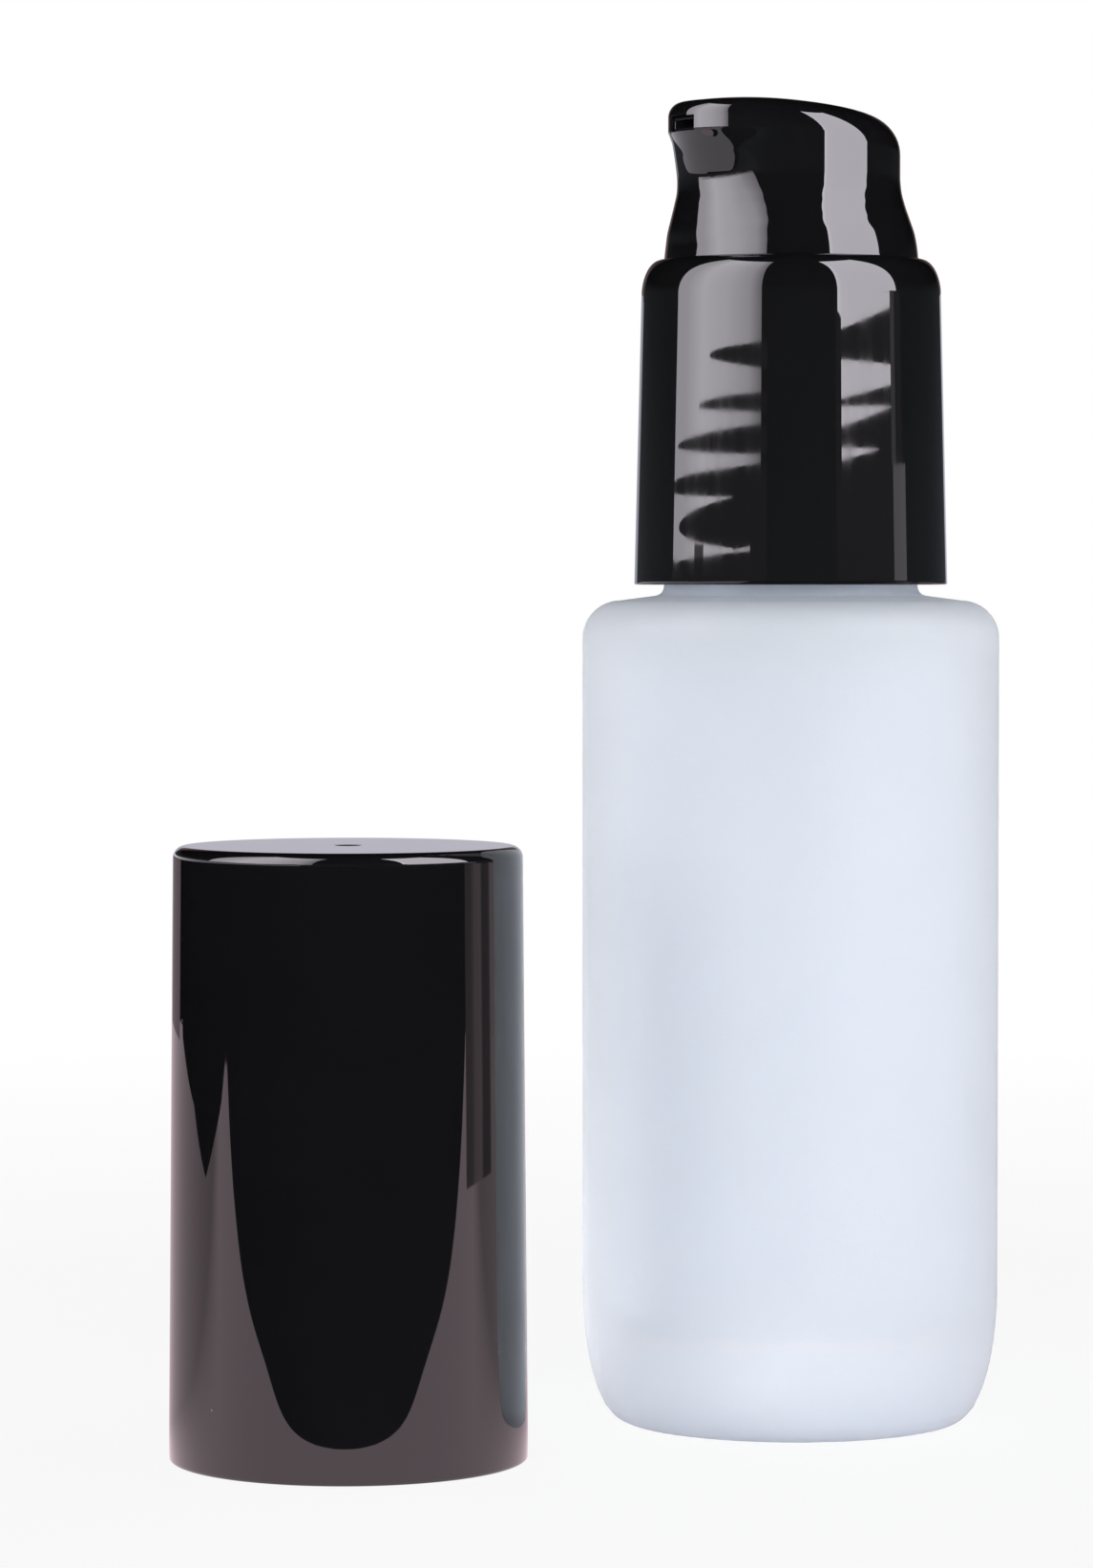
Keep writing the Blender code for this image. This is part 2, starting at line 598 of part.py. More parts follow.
def stem(axis):
    """Hollow stem up to the actuator, with a collar that stops it under the guide."""
    tail = STEM_COLLAR_BOTTOM - STEM_TAIL
    outline = [
        (STEM_BORE_RADIUS, tail),
        (STEM_RADIUS, tail),
        (STEM_RADIUS, STEM_COLLAR_BOTTOM),
        (STEM_COLLAR_RADIUS, STEM_COLLAR_BOTTOM),
        (STEM_COLLAR_RADIUS, STEM_COLLAR_TOP),
        (STEM_RADIUS, STEM_COLLAR_TOP),
        (STEM_RADIUS, STEM_TOP - STEM_EDGE),
        (STEM_RADIUS - STEM_EDGE, STEM_TOP),
        (STEM_BORE_RADIUS, STEM_TOP),
    ]
    finish(turned("stem", outline, PUMP_SIDES, axis), NATURAL_PLASTIC)


def piston(axis):
    """Soft piston with two wiping lips, loose on the stem between its collar and the rod's head."""
    lip = BARREL_BORE_RADIUS - RUNNING_GAP
    waist = lip - PISTON_WAIST_DEPTH
    groove = (waist + STEM_FIT_RADIUS) / 2
    outline = [
        (STEM_FIT_RADIUS, PISTON_BOTTOM),
        (lip, PISTON_BOTTOM),
        (lip, PISTON_BOTTOM + PISTON_LIP_HEIGHT / 2),
        (waist, PISTON_BOTTOM + PISTON_LIP_HEIGHT),
        (waist, PISTON_TOP - PISTON_LIP_HEIGHT),
        (lip, PISTON_TOP - PISTON_LIP_HEIGHT / 2),
        (lip, PISTON_TOP),
        (groove, PISTON_TOP - PISTON_GROOVE_DEPTH),
        (STEM_FIT_RADIUS, PISTON_TOP),
    ]
    finish(turned("piston", outline, PUMP_SIDES, axis), SOFT_PLASTIC)


def piston_rod(axis):
    """Head that seals the piston from below, with crossed fins pressed into the stem's bore."""
    tail = ROD_HEAD_BOTTOM - ROD_TAIL_LENGTH
    head_middle = (ROD_HEAD_BOTTOM + ROD_HEAD_TOP) / 2
    outline = [
        (0.0, tail),
        (ROD_TAIL_RADIUS, tail),
        (ROD_TAIL_RADIUS, ROD_HEAD_BOTTOM),
        (ROD_HEAD_RADIUS, ROD_HEAD_BOTTOM),
        (ROD_HEAD_RADIUS, head_middle),
        (STEM_RADIUS, ROD_HEAD_TOP),
        (0.0, ROD_HEAD_TOP),
    ]
    rod = turned("piston_rod", outline, PUMP_SIDES, axis)
    reach = STEM_BORE_RADIUS - SEAT_GAP
    thin = ROD_FIN_THICKNESS / 2
    fin_top = ROD_HEAD_TOP + ROD_FIN_LENGTH
    for name, half_width, half_depth in (("fin_across", reach, thin), ("fin_along", thin, reach)):
        low = (-half_width, -half_depth, head_middle)
        combine(rod, block(name, low, (half_width, half_depth, fin_top), axis), "UNION")
    finish(rod, NATURAL_PLASTIC)


def return_spring(axis):
    """Steel coil spring between its seat and the rod's head, one unbroken wire."""
    low = SEAT_RING_TOP + SEAT_GAP + SPRING_WIRE_RADIUS
    high = ROD_HEAD_BOTTOM - SEAT_GAP - SPRING_WIRE_RADIUS
    curve = bpy.data.curves.new("return_spring", "CURVE")
    curve.dimensions = "3D"
    curve.bevel_depth = SPRING_WIRE_RADIUS
    curve.bevel_resolution = SPRING_BEVEL_RESOLUTION
    curve.use_fill_caps = True
    wire = curve.splines.new("POLY")
    steps = SPRING_TURNS * SPRING_POINTS_PER_TURN
    wire.points.add(steps)
    for i, point in enumerate(wire.points):
        angle = FULL_TURN * i / SPRING_POINTS_PER_TURN
        height = low + (high - low) * i / steps
        point.co = (SPRING_RADIUS * math.cos(angle), SPRING_RADIUS * math.sin(angle), height, 1.0)
    finish(carried("return_spring", curve, axis), BRIGHT_STEEL)


def spring_seat(axis):
    """Ring that carries the spring, with a slotted leg that keeps the ball in its chamber."""
    leg_bottom = SEAT_RING_BOTTOM - SEAT_LEG_HEIGHT
    leg_radius = BALL_CHAMBER_RADIUS - SEAT_GAP
    ring_radius = BARREL_BORE_RADIUS - SEAT_GAP
    outline = [
        (SEAT_HOLE_RADIUS, leg_bottom + SEAT_CHAMFER),
        (SEAT_HOLE_RADIUS + SEAT_CHAMFER, leg_bottom),
        (leg_radius, leg_bottom),
        (leg_radius, SEAT_RING_BOTTOM),
        (ring_radius, SEAT_RING_BOTTOM),
        (ring_radius, SEAT_RING_TOP),
        (SEAT_HOLE_RADIUS, SEAT_RING_TOP),
    ]
    seat = turned("spring_seat", outline, PUMP_SIDES, axis)
    low, high = leg_bottom - OVERRUN, leg_bottom + SEAT_SLOT_HEIGHT
    reach, thin = leg_radius + OVERRUN, SEAT_SLOT_WIDTH / 2
    for name, half_width, half_depth in (("slot_across", reach, thin), ("slot_along", thin, reach)):
        slot = block(name, (-half_width, -half_depth, low), (half_width, half_depth, high), axis)
        combine(seat, slot, "DIFFERENCE")
    finish(seat, NATURAL_PLASTIC)


def inlet_ball(axis):
    """Steel ball that closes the inlet by its own weight, resting on the conical valve seat."""
    cone_width = BALL_CHAMBER_RADIUS - INLET_RADIUS
    apex = VALVE_SEAT_BOTTOM - INLET_RADIUS * VALVE_SEAT_HEIGHT / cone_width
    slant = math.hypot(cone_width, VALVE_SEAT_HEIGHT)
    centre = apex + (BALL_RADIUS + SEAT_GAP) * slant / cone_width
    side = arc((0.0, centre), (BALL_RADIUS, BALL_RADIUS), -90.0, 90.0, BALL_STEPS)[1:-1]
    outline = [(0.0, centre - BALL_RADIUS), *side, (0.0, centre + BALL_RADIUS)]
    finish(turned("inlet_ball", outline, BALL_SIDES, axis), BRIGHT_STEEL)


def dip_tube(axis):
    """Tube from the housing's socket down to the glass floor, cut at a slant."""
    outer, inner = DIP_RADIUS, DIP_RADIUS - DIP_WALL
    top, bottom = SOCKET_TOP - SEAT_GAP, GLASS_BASE + DIP_FLOOR_GAP
    outline = [(inner, bottom), (outer, bottom), (outer, top), (inner, top)]
    tube = turned("dip_tube", outline, PUMP_SIDES, axis)
    slope = math.tan(math.radians(DIP_BEVEL_DEGREES))
    middle = (bottom + top) / 2
    for vertex in tube.data.vertices:
        if vertex.co.z < middle:
            vertex.co.z += (vertex.co.x + outer) * slope
    finish(tube, NATURAL_PLASTIC)


def beak_radius(angle):
    """Radius of the head at an angle from the nozzle: a circle drawn out to a rounded tip."""
    angle = abs(math.remainder(angle, FULL_TURN))
    flank_angle = math.acos((WAIST_RADIUS - BEAK_TIP_RADIUS) / BEAK_TIP_CENTRE)
    tip_end = math.atan2(
        BEAK_TIP_RADIUS * math.sin(flank_angle), BEAK_TIP_CENTRE + BEAK_TIP_RADIUS * math.cos(flank_angle)
    )
    if angle <= tip_end:
        across = BEAK_TIP_CENTRE * math.sin(angle)
        return BEAK_TIP_CENTRE * math.cos(angle) + math.sqrt(BEAK_TIP_RADIUS**2 - across**2)
    if angle <= flank_angle:
        return WAIST_RADIUS / math.cos(flank_angle - angle)
    return WAIST_RADIUS


def crown_height(x, y):
    """Height of the domed top, whose summit lies towards the nozzle."""
    return ACTUATOR_TOP - ((x - CROWN_SUMMIT) ** 2 + y**2) / (2.0 * CROWN_RADIUS)


def edge_radius(angle, inset):
    """Rounding of the head's upper edge, small at the nozzle and large at the back."""
    at_nozzle = ((1.0 + math.cos(angle)) / 2) ** EDGE_FADE_POWER
    edge = EDGE_AT_BACK + (EDGE_AT_BEAK - EDGE_AT_BACK) * at_nozzle
    return max(edge - inset, EDGE_AT_BEAK / 2)


def side_top(angle, inset):
    """Height where the head's side ends and its rounded upper edge begins."""
    edge = edge_radius(angle, inset)
    radius = beak_radius(angle) - inset - edge
    return crown_height(radius * math.cos(angle), radius * math.sin(angle)) - inset - edge


def actuator_skin(inset):
    """Rings of the actuator from the skirt's rim to the crown, moved inwards by the inset."""
    angles = [FULL_TURN * i / OUTER_SIDES for i in range(OUTER_SIDES)]
    waist_rise = ACTUATOR_RISE * WAIST_SHARE
    lip_rise = ACTUATOR_RISE - BEAK_LIP_DROP

    def ring(radius_at, height_at):
        points = []
        for angle in angles:
            radius = radius_at(angle) - inset
            x, y = radius * math.cos(angle), radius * math.sin(angle)
            points.append((x, y, height_at(angle, x, y)))
        return points

    def flare_height(rise, angle):
        side_rise = min(lip_rise, side_top(angle, inset) - RUNNING_GAP - SLEEVE_TOP)
        above_waist = max(rise - waist_rise, 0.0) / (lip_rise - waist_rise)
        return SLEEVE_TOP + min(rise, waist_rise) + above_waist * (side_rise - waist_rise)

    def flare_ring(rise, radius, beak_share):
        return ring(
            lambda angle: radius + (beak_radius(angle) - WAIST_RADIUS) * beak_share,
            lambda angle, x, y: flare_height(rise, angle),
        )

    def edge_ring(turn):
        return ring(
            lambda angle: beak_radius(angle) - edge_radius(angle, inset) * (1.0 - math.cos(turn)),
            lambda angle, x, y: side_top(angle, inset) + edge_radius(angle, inset) * math.sin(turn),
        )

    def crown_ring(share):
        return ring(
            lambda angle: inset + (beak_radius(angle) - inset - edge_radius(angle, inset)) * share,
            lambda angle, x, y: crown_height(x, y) - inset,
        )

    rings = [flare_ring(-SKIRT_DEPTH, SKIRT_RADIUS, 0.0)]
    for rise_share, waist_share, beak_share in FLARE_SHARES:
        radius = SKIRT_RADIUS + (WAIST_RADIUS - SKIRT_RADIUS) * waist_share
        rings.append(flare_ring(ACTUATOR_RISE * rise_share, radius, beak_share))
    rings.append(flare_ring(lip_rise, WAIST_RADIUS, 1.0))
    rings += [edge_ring(math.radians(90.0 * i / EDGE_STEPS)) for i in range(EDGE_STEPS + 1)]
    rings += [crown_ring(share) for share in CROWN_RING_SHARES]
    rings.append([(0.0, 0.0, crown_height(0.0, 0.0) - inset)])
    return rings


def nozzle_block(name, width, height, middle, start, end, axis):
    """A block along the nozzle's direction, centred on the middle height."""
    low = (start, -width / 2, middle - height / 2)
    return block(name, low, (end, width / 2, middle + height / 2), axis)


def actuator_shell(axis):
    """Gloss black push button with a flared skirt, a waist and a short rounded beak."""
    shell = lofted("actuator_shell", (actuator_skin(0.0), actuator_skin(ACTUATOR_WALL)), axis)
    width, height = INSERT_WIDTH + RUNNING_GAP, INSERT_HEIGHT + RUNNING_GAP
    back = BEAK_REACH - INSERT_LENGTH - OVERRUN
    pocket = nozzle_block("insert_pocket", width, height, SLOT_MIDDLE, back, BEAK_REACH + OVERRUN, axis)
    combine(shell, pocket, "DIFFERENCE")
    finish(shell, GLOSS_BLACK)


def actuator_core(axis):
    """Inner part that grips the stem and leads the product along an arm to the nozzle."""
    socket = STEM_FIT_RADIUS + CORE_WALL
    head = CORE_CHAMBER_RADIUS + CORE_WALL
    plate_radius = WAIST_RADIUS - ACTUATOR_WALL - SEAT_GAP
    plate_top = SLEEVE_TOP + CORE_PLATE_HEIGHT
    stem_stop = STEM_TOP + SEAT_GAP
    middle = SLOT_MIDDLE - CORE_DROP
    chamber_top = middle + CORE_CHANNEL_HEIGHT / 2 + CORE_STEP
    top = middle + CORE_ARM_HEIGHT / 2 + CORE_STEP
    outline = [
        (STEM_FIT_RADIUS, SLEEVE_TOP - CORE_SOCKET_DROP),
        (socket, SLEEVE_TOP - CORE_SOCKET_DROP),
        (socket, plate_top - CORE_PLATE_THICKNESS),
        (plate_radius, plate_top - CORE_PLATE_THICKNESS),
        (plate_radius, plate_top),
        (head, plate_top),
        (head, top),
        (0.0, top),
        (0.0, chamber_top),
        (CORE_CHAMBER_RADIUS, chamber_top),
        (CORE_CHAMBER_RADIUS, stem_stop),
        (STEM_FIT_RADIUS, stem_stop),
    ]
    core = turned("actuator_core", outline, PUMP_SIDES, axis)
    arm_start = CORE_CHAMBER_RADIUS + CORE_WALL / 2
    arm_end = BEAK_REACH - INSERT_SINK - INSERT_LENGTH - SEAT_GAP
    arm = nozzle_block("core_arm", CORE_ARM_WIDTH, CORE_ARM_HEIGHT, middle, arm_start, arm_end, axis)
    combine(core, arm, "UNION")
    channel_end = arm_end + OVERRUN
    channel = nozzle_block(
        "core_channel", CORE_CHANNEL_WIDTH, CORE_CHANNEL_HEIGHT, middle, 0.0, channel_end, axis
    )
    combine(core, channel, "DIFFERENCE")
    finish(core, GLOSS_BLACK)


def nozzle_insert(axis):
    """Small framed slot that shapes the dispensed product."""
    tip = BEAK_REACH - INSERT_SINK
    back = tip - INSERT_LENGTH
    insert = nozzle_block("nozzle_insert", INSERT_WIDTH, INSERT_HEIGHT, SLOT_MIDDLE, back, tip, axis)
    slot = nozzle_block(
        "slot_cutter", SLOT_WIDTH, SLOT_HEIGHT, SLOT_MIDDLE, back - OVERRUN, tip + OVERRUN, axis
    )
    combine(insert, slot, "DIFFERENCE")
    finish(insert, GLOSS_BLACK)


def overcap(axis):
    """Gloss black overcap standing on its open rim, with its moulding gate's mark on top."""
    top_radius = OVERCAP_RADIUS - OVERCAP_DRAFT
    bore_top_radius = top_radius - OVERCAP_WALL
    ceiling = OVERCAP_HEIGHT - OVERCAP_TOP
    gate_floor = OVERCAP_HEIGHT - GATE_DEPTH
    outline = [
        (0.0, gate_floor + GATE_NUB_HEIGHT),
        (GATE_NUB_RADIUS, gate_floor + GATE_NUB_HEIGHT),
        (GATE_NUB_RADIUS, gate_floor),
        (GATE_RADIUS - GATE_DEPTH, gate_floor),
        (GATE_RADIUS, OVERCAP_HEIGHT),
    ]
    outline += arc(
        (top_radius - OVERCAP_CORNER, OVERCAP_HEIGHT - OVERCAP_CORNER),
        (OVERCAP_CORNER, OVERCAP_CORNER),
        90.0,
        0.0,
    )
    outline += [
        (OVERCAP_RADIUS, OVERCAP_RIM_EDGE),
        (OVERCAP_RADIUS - OVERCAP_RIM_EDGE, 0.0),
        (OVERCAP_BORE_RADIUS + OVERCAP_RIM_EDGE, 0.0),
        (OVERCAP_BORE_RADIUS, OVERCAP_RIM_EDGE),
        (bore_top_radius, ceiling - OVERCAP_CORNER),
        (bore_top_radius - OVERCAP_CORNER, ceiling),
        (0.0, ceiling),
    ]
    finish(turned("overcap", outline, OUTER_SIDES, axis), GLOSS_BLACK)


def main():
    clear_scene()
    bottle_axis = axis_empty("bottle_axis", BOTTLE_AXIS)
    actuator_axis = axis_empty("actuator_axis", BOTTLE_AXIS, NOZZLE_TURN_DEGREES)
    overcap_axis = axis_empty("overcap_axis", OVERCAP_AXIS)
    glass_bottle(bottle_axis)
    neck_gasket(bottle_axis)
    threaded_closure(bottle_axis)
    collar_sleeve(bottle_axis)
    pump_housing(bottle_axis)
    stem_guide(bottle_axis)
    stem(bottle_axis)
    piston(bottle_axis)
    piston_rod(bottle_axis)
    return_spring(bottle_axis)
    spring_seat(bottle_axis)
    inlet_ball(bottle_axis)
    dip_tube(bottle_axis)
    actuator_shell(actuator_axis)
    actuator_core(actuator_axis)
    nozzle_insert(actuator_axis)
    overcap(overcap_axis)


main()
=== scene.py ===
"""Looks of the frosted glass pump bottle and its overcap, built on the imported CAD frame.

Lengths are in metres in the CAD frame, +Z up. Angles called azimuth are about +Z, from the
viewer's side (-Y) towards the right (+X), in degrees.
"""

import math

import bpy
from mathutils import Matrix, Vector


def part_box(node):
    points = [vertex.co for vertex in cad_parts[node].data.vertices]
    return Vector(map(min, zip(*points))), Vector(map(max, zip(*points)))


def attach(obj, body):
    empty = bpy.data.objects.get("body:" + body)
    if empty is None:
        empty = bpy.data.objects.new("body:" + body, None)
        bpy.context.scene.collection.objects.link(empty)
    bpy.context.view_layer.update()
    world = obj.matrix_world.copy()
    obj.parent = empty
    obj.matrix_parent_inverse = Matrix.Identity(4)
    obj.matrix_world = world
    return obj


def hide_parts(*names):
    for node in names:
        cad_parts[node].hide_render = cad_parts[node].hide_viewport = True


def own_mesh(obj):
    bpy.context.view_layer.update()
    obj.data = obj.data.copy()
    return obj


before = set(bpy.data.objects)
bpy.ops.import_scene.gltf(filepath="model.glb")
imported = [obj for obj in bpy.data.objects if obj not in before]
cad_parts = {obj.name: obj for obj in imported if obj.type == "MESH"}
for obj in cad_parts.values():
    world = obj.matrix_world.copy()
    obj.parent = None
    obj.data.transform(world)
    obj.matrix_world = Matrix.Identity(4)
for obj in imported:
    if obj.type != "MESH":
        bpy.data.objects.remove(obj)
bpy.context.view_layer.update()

MM = 0.001
FULL_TURN = 2.0 * math.pi

# How finely the pieces are turned and lofted
TURNED_SIDES = 160
CORNER_STEPS = 12
FILLET_STEPS = 8
THREAD_STEPS_PER_TURN = 72
SHARP_EDGE_DEGREES = 40.0
SUPPORT_DISTANCE = 0.25 * MM

# Places and sizes that the frame gives
GLASS_LOW, GLASS_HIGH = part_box("glass_bottle")
COLLAR_LOW, COLLAR_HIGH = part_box("collar_sleeve")
CLOSURE_LOW, CLOSURE_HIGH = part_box("threaded_closure")
OVERCAP_LOW, OVERCAP_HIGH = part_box("overcap")
SPRING_LOW, SPRING_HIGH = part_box("return_spring")
BOTTLE_AXIS = ((GLASS_LOW + GLASS_HIGH) / 2).xy
OVERCAP_AXIS = ((OVERCAP_LOW + OVERCAP_HIGH) / 2).xy
BODY_RADIUS = (GLASS_HIGH.x - GLASS_LOW.x) / 2
NECK_TOP = GLASS_HIGH.z
COLLAR_BOTTOM, COLLAR_TOP = COLLAR_LOW.z, COLLAR_HIGH.z
COLLAR_RADIUS = (COLLAR_HIGH.x - COLLAR_LOW.x) / 2
CLOSURE_RADIUS = (CLOSURE_HIGH.x - CLOSURE_LOW.x) / 2
CLOSURE_BOTTOM, CLOSURE_TOP = CLOSURE_LOW.z, CLOSURE_HIGH.z
ACTUATOR_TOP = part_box("actuator_shell")[1].z
HEAD_RISE = ACTUATOR_TOP - COLLAR_TOP
OVERCAP_RADIUS = (OVERCAP_HIGH.x - OVERCAP_LOW.x) / 2
OVERCAP_HEIGHT = OVERCAP_HIGH.z

# Glass body
GLASS_WALL = 2.9 * MM
GLASS_BASE = 6.2 * MM
SHOULDER_HEIGHT = 65.4 * MM
SHOULDER_RADIUS = 3.0 * MM
SHOULDER_FALL = 0.35 * MM
HEEL_WIDTH = 3.4 * MM
HEEL_HEIGHT = 10.5 * MM
HEEL_STEPS = 36
BEARING_WIDTH = 1.5 * MM
BEARING_ROUND = 0.35 * MM
BEARING_RISE = 0.06 * MM
PUSH_UP = 1.1 * MM
PUSH_UP_FLAT_RADIUS = 5.8 * MM
INNER_HEEL_RADIUS = 4.0 * MM
INNER_SHOULDER_RADIUS = 2.6 * MM
NECK_RADIUS = 8.9 * MM
NECK_BORE_RADIUS = 6.6 * MM
NECK_RING_DEPTH = 1.15 * MM
NECK_RING_HEIGHT = 1.7 * MM
NECK_FILLET = 0.8 * MM
NECK_LIP = 0.5 * MM
MOULD_LINE_HEIGHT = 1.2 * MM
MOULD_LINE_RISE = 0.05 * MM
MOULD_LINE_SPREAD = 0.18 * MM
FACE_TOLERANCE = 0.05 * MM

# Screw thread on the neck
THREAD_CREST_RADIUS = 9.85 * MM
THREAD_PITCH = 3.175 * MM
THREAD_ROOT = 1.5 * MM
THREAD_CREST = 0.8 * MM
THREAD_BITE = 0.35 * MM
THREAD_START = 70.4 * MM
THREAD_TURNS = 1.5
THREAD_FADE_TURNS = 0.17
THREAD_END_SHARE = 0.12

# Collar
COLLAR_DRAFT = 0.55 * MM
COLLAR_CORNER = 1.5 * MM
COLLAR_CORNER_HEIGHT = 2.9 * MM
COLLAR_EDGE = 0.12 * MM
COLLAR_EDGE_STEPS = 4
COLLAR_GUIDE_WALL = 0.95 * MM
COLLAR_LIP = 1.6 * MM
COLLAR_FLANGE = 1.2 * MM
SEAT_GAP = 0.15 * MM
SLIDING_GAP = 0.25 * MM
SNAP_BITE = 0.35 * MM
SNAP_HEIGHT = 0.5 * MM

# Actuator
NOZZLE_TURN = math.radians(212.0)
SHELL_SIDES = 240
SKIRT_RADIUS = 10.05 * MM
SKIRT_DEPTH = 4.5 * MM
ACTUATOR_WALL = 0.9 * MM
WAIST_RADIUS = 8.6 * MM
BEAK_TIP_RADIUS = 5.85 * MM
BEAK_TIP_CENTRE = 4.65 * MM
BEAK_REACH = BEAK_TIP_CENTRE + BEAK_TIP_RADIUS
BEAK_LIP_DROP = 2.7 * MM
CROWN_RADIUS = 34.6 * MM
CROWN_SUMMIT = 4.4 * MM
EDGE_AT_BEAK = 1.05 * MM
EDGE_AT_BACK = 3.0 * MM
EDGE_FADE_POWER = 2.5
EDGE_STEPS = 14
FLARE_STEPS = 60
CROWN_STEPS = 12
FLARE_END_GAP = 0.15 * MM
SIDE_SUPPORTS = (0.07, 0.93)
INSERT_WIDTH = 3.0 * MM
INSERT_HEIGHT = 1.05 * MM
INSERT_LENGTH = 1.5 * MM
INSERT_SINK = 0.35 * MM
INSERT_GAP = 0.15 * MM
INSERT_EDGE = 0.03 * MM
INSERT_EDGE_STEPS = 3
SLOT_WIDTH = 2.5 * MM
SLOT_HEIGHT = 0.65 * MM
SLOT_CENTRE_DROP = 2.2 * MM
CUT_OVERRUN = 1.0 * MM
WAIST_SHARE = 0.52
WAIST_RISE = HEAD_RISE * WAIST_SHARE
LIP_RISE = HEAD_RISE - BEAK_LIP_DROP

# The flare from skirt to head: share of the rise above the collar, share of the way from
# skirt to waist, and the share of the beak that shows there. The last step is the beak's lip.
FLARE_SHARES = (
    (0.0, 0.0, 0.0),
    (0.07, 0.06, 0.00),
    (0.16, 0.20, 0.09),
    (0.25, 0.46, 0.22),
    (0.34, 0.73, 0.33),
    (0.43, 0.93, 0.39),
    (0.52, 1.00, 0.48),
    (0.62, 1.00, 0.61),
    (0.71, 1.00, 0.75),
    (1.0 - BEAK_LIP_DROP / HEAD_RISE, 1.00, 1.00),
)

# Overcap
OVERCAP_WALL = 1.1 * MM
OVERCAP_CEILING = 1.3 * MM
OVERCAP_DRAFT = 0.4 * MM
OVERCAP_CORNER = 0.9 * MM
OVERCAP_RIM_EDGE = 0.25 * MM
OVERCAP_RIM_STEPS = 5
GATE_RADIUS = 1.0 * MM
GATE_DEPTH = 0.2 * MM
GATE_NUB_RADIUS = 0.35 * MM
GATE_NUB_HEIGHT = 0.12 * MM

# Return spring
SPRING_WIRE_RADIUS = 0.27 * MM
SPRING_TURNS = 6
SPRING_POINTS_PER_TURN = 48
SPRING_WIRE_SIDES = 16

# Finishes: the colours that surfaces wander between, and how deep light spreads in the frosting
WHITE = (1.0, 1.0, 1.0)
FROST_COLOURS = ((0.805, 0.862, 0.985), (0.845, 0.897, 0.999))
FROST_SPREAD = 12.0 * MM
CLEAR_COLOURS = ((0.95, 0.97, 1.0), (0.98, 0.99, 1.0))
BLACK_COLOURS = ((0.0045, 0.0045, 0.0052), (0.0065, 0.0062, 0.0066))
BLACK_WAVE = 0.012 * MM
BLACK_GRAIN = 0.00006 * MM
DUST_COLOUR = (0.16, 0.16, 0.15)
NATURAL_COLOUR = (0.82, 0.84, 0.85)
SOFT_COLOUR = (0.74, 0.78, 0.80)
CLOUD_SHARE = 0.93
# The foam's colours: painted shade in the middle of each pit, then its cut face between the pits
FOAM_FACE_AND_PIT_SHADE_COLOURS = ((0.78, 0.78, 0.75), (0.9, 0.9, 0.88))
STEEL_COLOURS = ((0.56, 0.56, 0.55), (0.68, 0.68, 0.67))

# Nodes of natural plastic that are left showing
NATURAL_NODES = (
    "threaded_closure",
    "pump_housing",
    "stem_guide",
    "stem",
    "piston_rod",
    "spring_seat",
    "dip_tube",
)

# Camera, at the photograph's viewing angle
IMAGE_HEIGHT_PIXELS = 1642
FOCAL_PIXELS = 5808.0
SENSOR_MM = 36.0
CAMERA_FROM_BOTTLE = (-19.36 * MM, -439.975 * MM)
CAMERA_HEIGHT = 67.0 * MM
CAMERA_PITCH_DEGREES = 2.15

# What the gloss black parts mirror, seen from the set: two softboxes on a dark studio wall,
# and a pale table that ends in front
WALL_RADIUS = 0.46
WALL_END = 158.0
BACK_END = 360.0 - WALL_END
WALL_HEIGHT = 0.95
SOFTBOX_RADIUS = 0.42
SOFTBOX_BOTTOM = 0.0825
SOFTBOX_TOP = 0.90
SOFTBOX_TINT = (1.0, 0.95, 1.035)
CARD_STEPS = 96
EDGE_CARD_STEPS = 400
LOW_CARD_TOP = 0.045
SWEEP_TOP = 0.115
SWEEP_TINT = (1.0, 0.98, 1.12)

# Azimuth and glow at the places where a card's light changes across it. The near card repeats
# the right one's light closer by, so that its dark streak reaches further down the overcap.
LEFT_SOFTBOX = ((-98.0, 4.2), (-88.0, 4.8), (-72.0, 7.4), (-52.0, 6.8), (-34.0, 5.2), (-24.5, 2.4))
RIGHT_SOFTBOX = ((32.5, 11.0), (36.0, 9.0), (60.0, 8.4), (84.0, 7.4))
LOW_CARD_RIGHT = (
    (80.0, 0.30),
    (86.0, 0.34),
    (89.0, 0.62),
    (95.0, 0.66),
    (97.0, 0.20),
    (104.0, 0.20),
    (106.0, 0.74),
    (130.0, 0.70),
    (158.0, 0.62),
)
LOW_CARD_NEAR = (
    (75.0, 0.30),
    (81.4, 0.34),
    (84.6, 0.62),
    (91.0, 0.66),
    (93.3, 0.20),
    (101.0, 0.20),
    (103.1, 0.74),
)
LOW_CARD_NEAR_RADIUS = 0.200
LOW_CARD_LEFT = ((-158.0, 0.30), (-134.0, 0.34))
SWEEP = ((WALL_END, 0.90), (180.0, 0.62), (BACK_END, 0.60))
SWEEP_FADE = ((WALL_END, 0.22), (BACK_END, 0.22))
SWEEP_FADE_RADIUS = 0.458
SWEEP_FADE_TOP = 0.32
SWEEP_FADE_TINT = (1.0, 0.70, 0.70)
DARK_WALL = ((-WALL_END, 0.0), (WALL_END, 0.0))
DARK_BACK = ((WALL_END, 0.0), (BACK_END, 0.0))
DIM_WALL = ((-WALL_END, 0.10), (WALL_END, 0.10))
DIM_WALL_RADIUS = 0.43
DIM_WALL_HEIGHTS = (0.055, 0.160)
DIM_WALL_TINT = (0.88, 1.0, 1.12)
TABLE_FRONT = 45.0 * MM
TABLE_FRONT_AT_CAP = 19.0 * MM
TABLE_CURVE = 45.0 * MM
TABLE_SIDE = 0.45
TABLE_GLOW = (1.68, 0.82)
TABLE_FALL = (-22.0 * MM, 4.0 * MM)
TABLE_TINT = (1.0, 0.80, 0.87)
TABLE_HEIGHT = 0.1 * MM

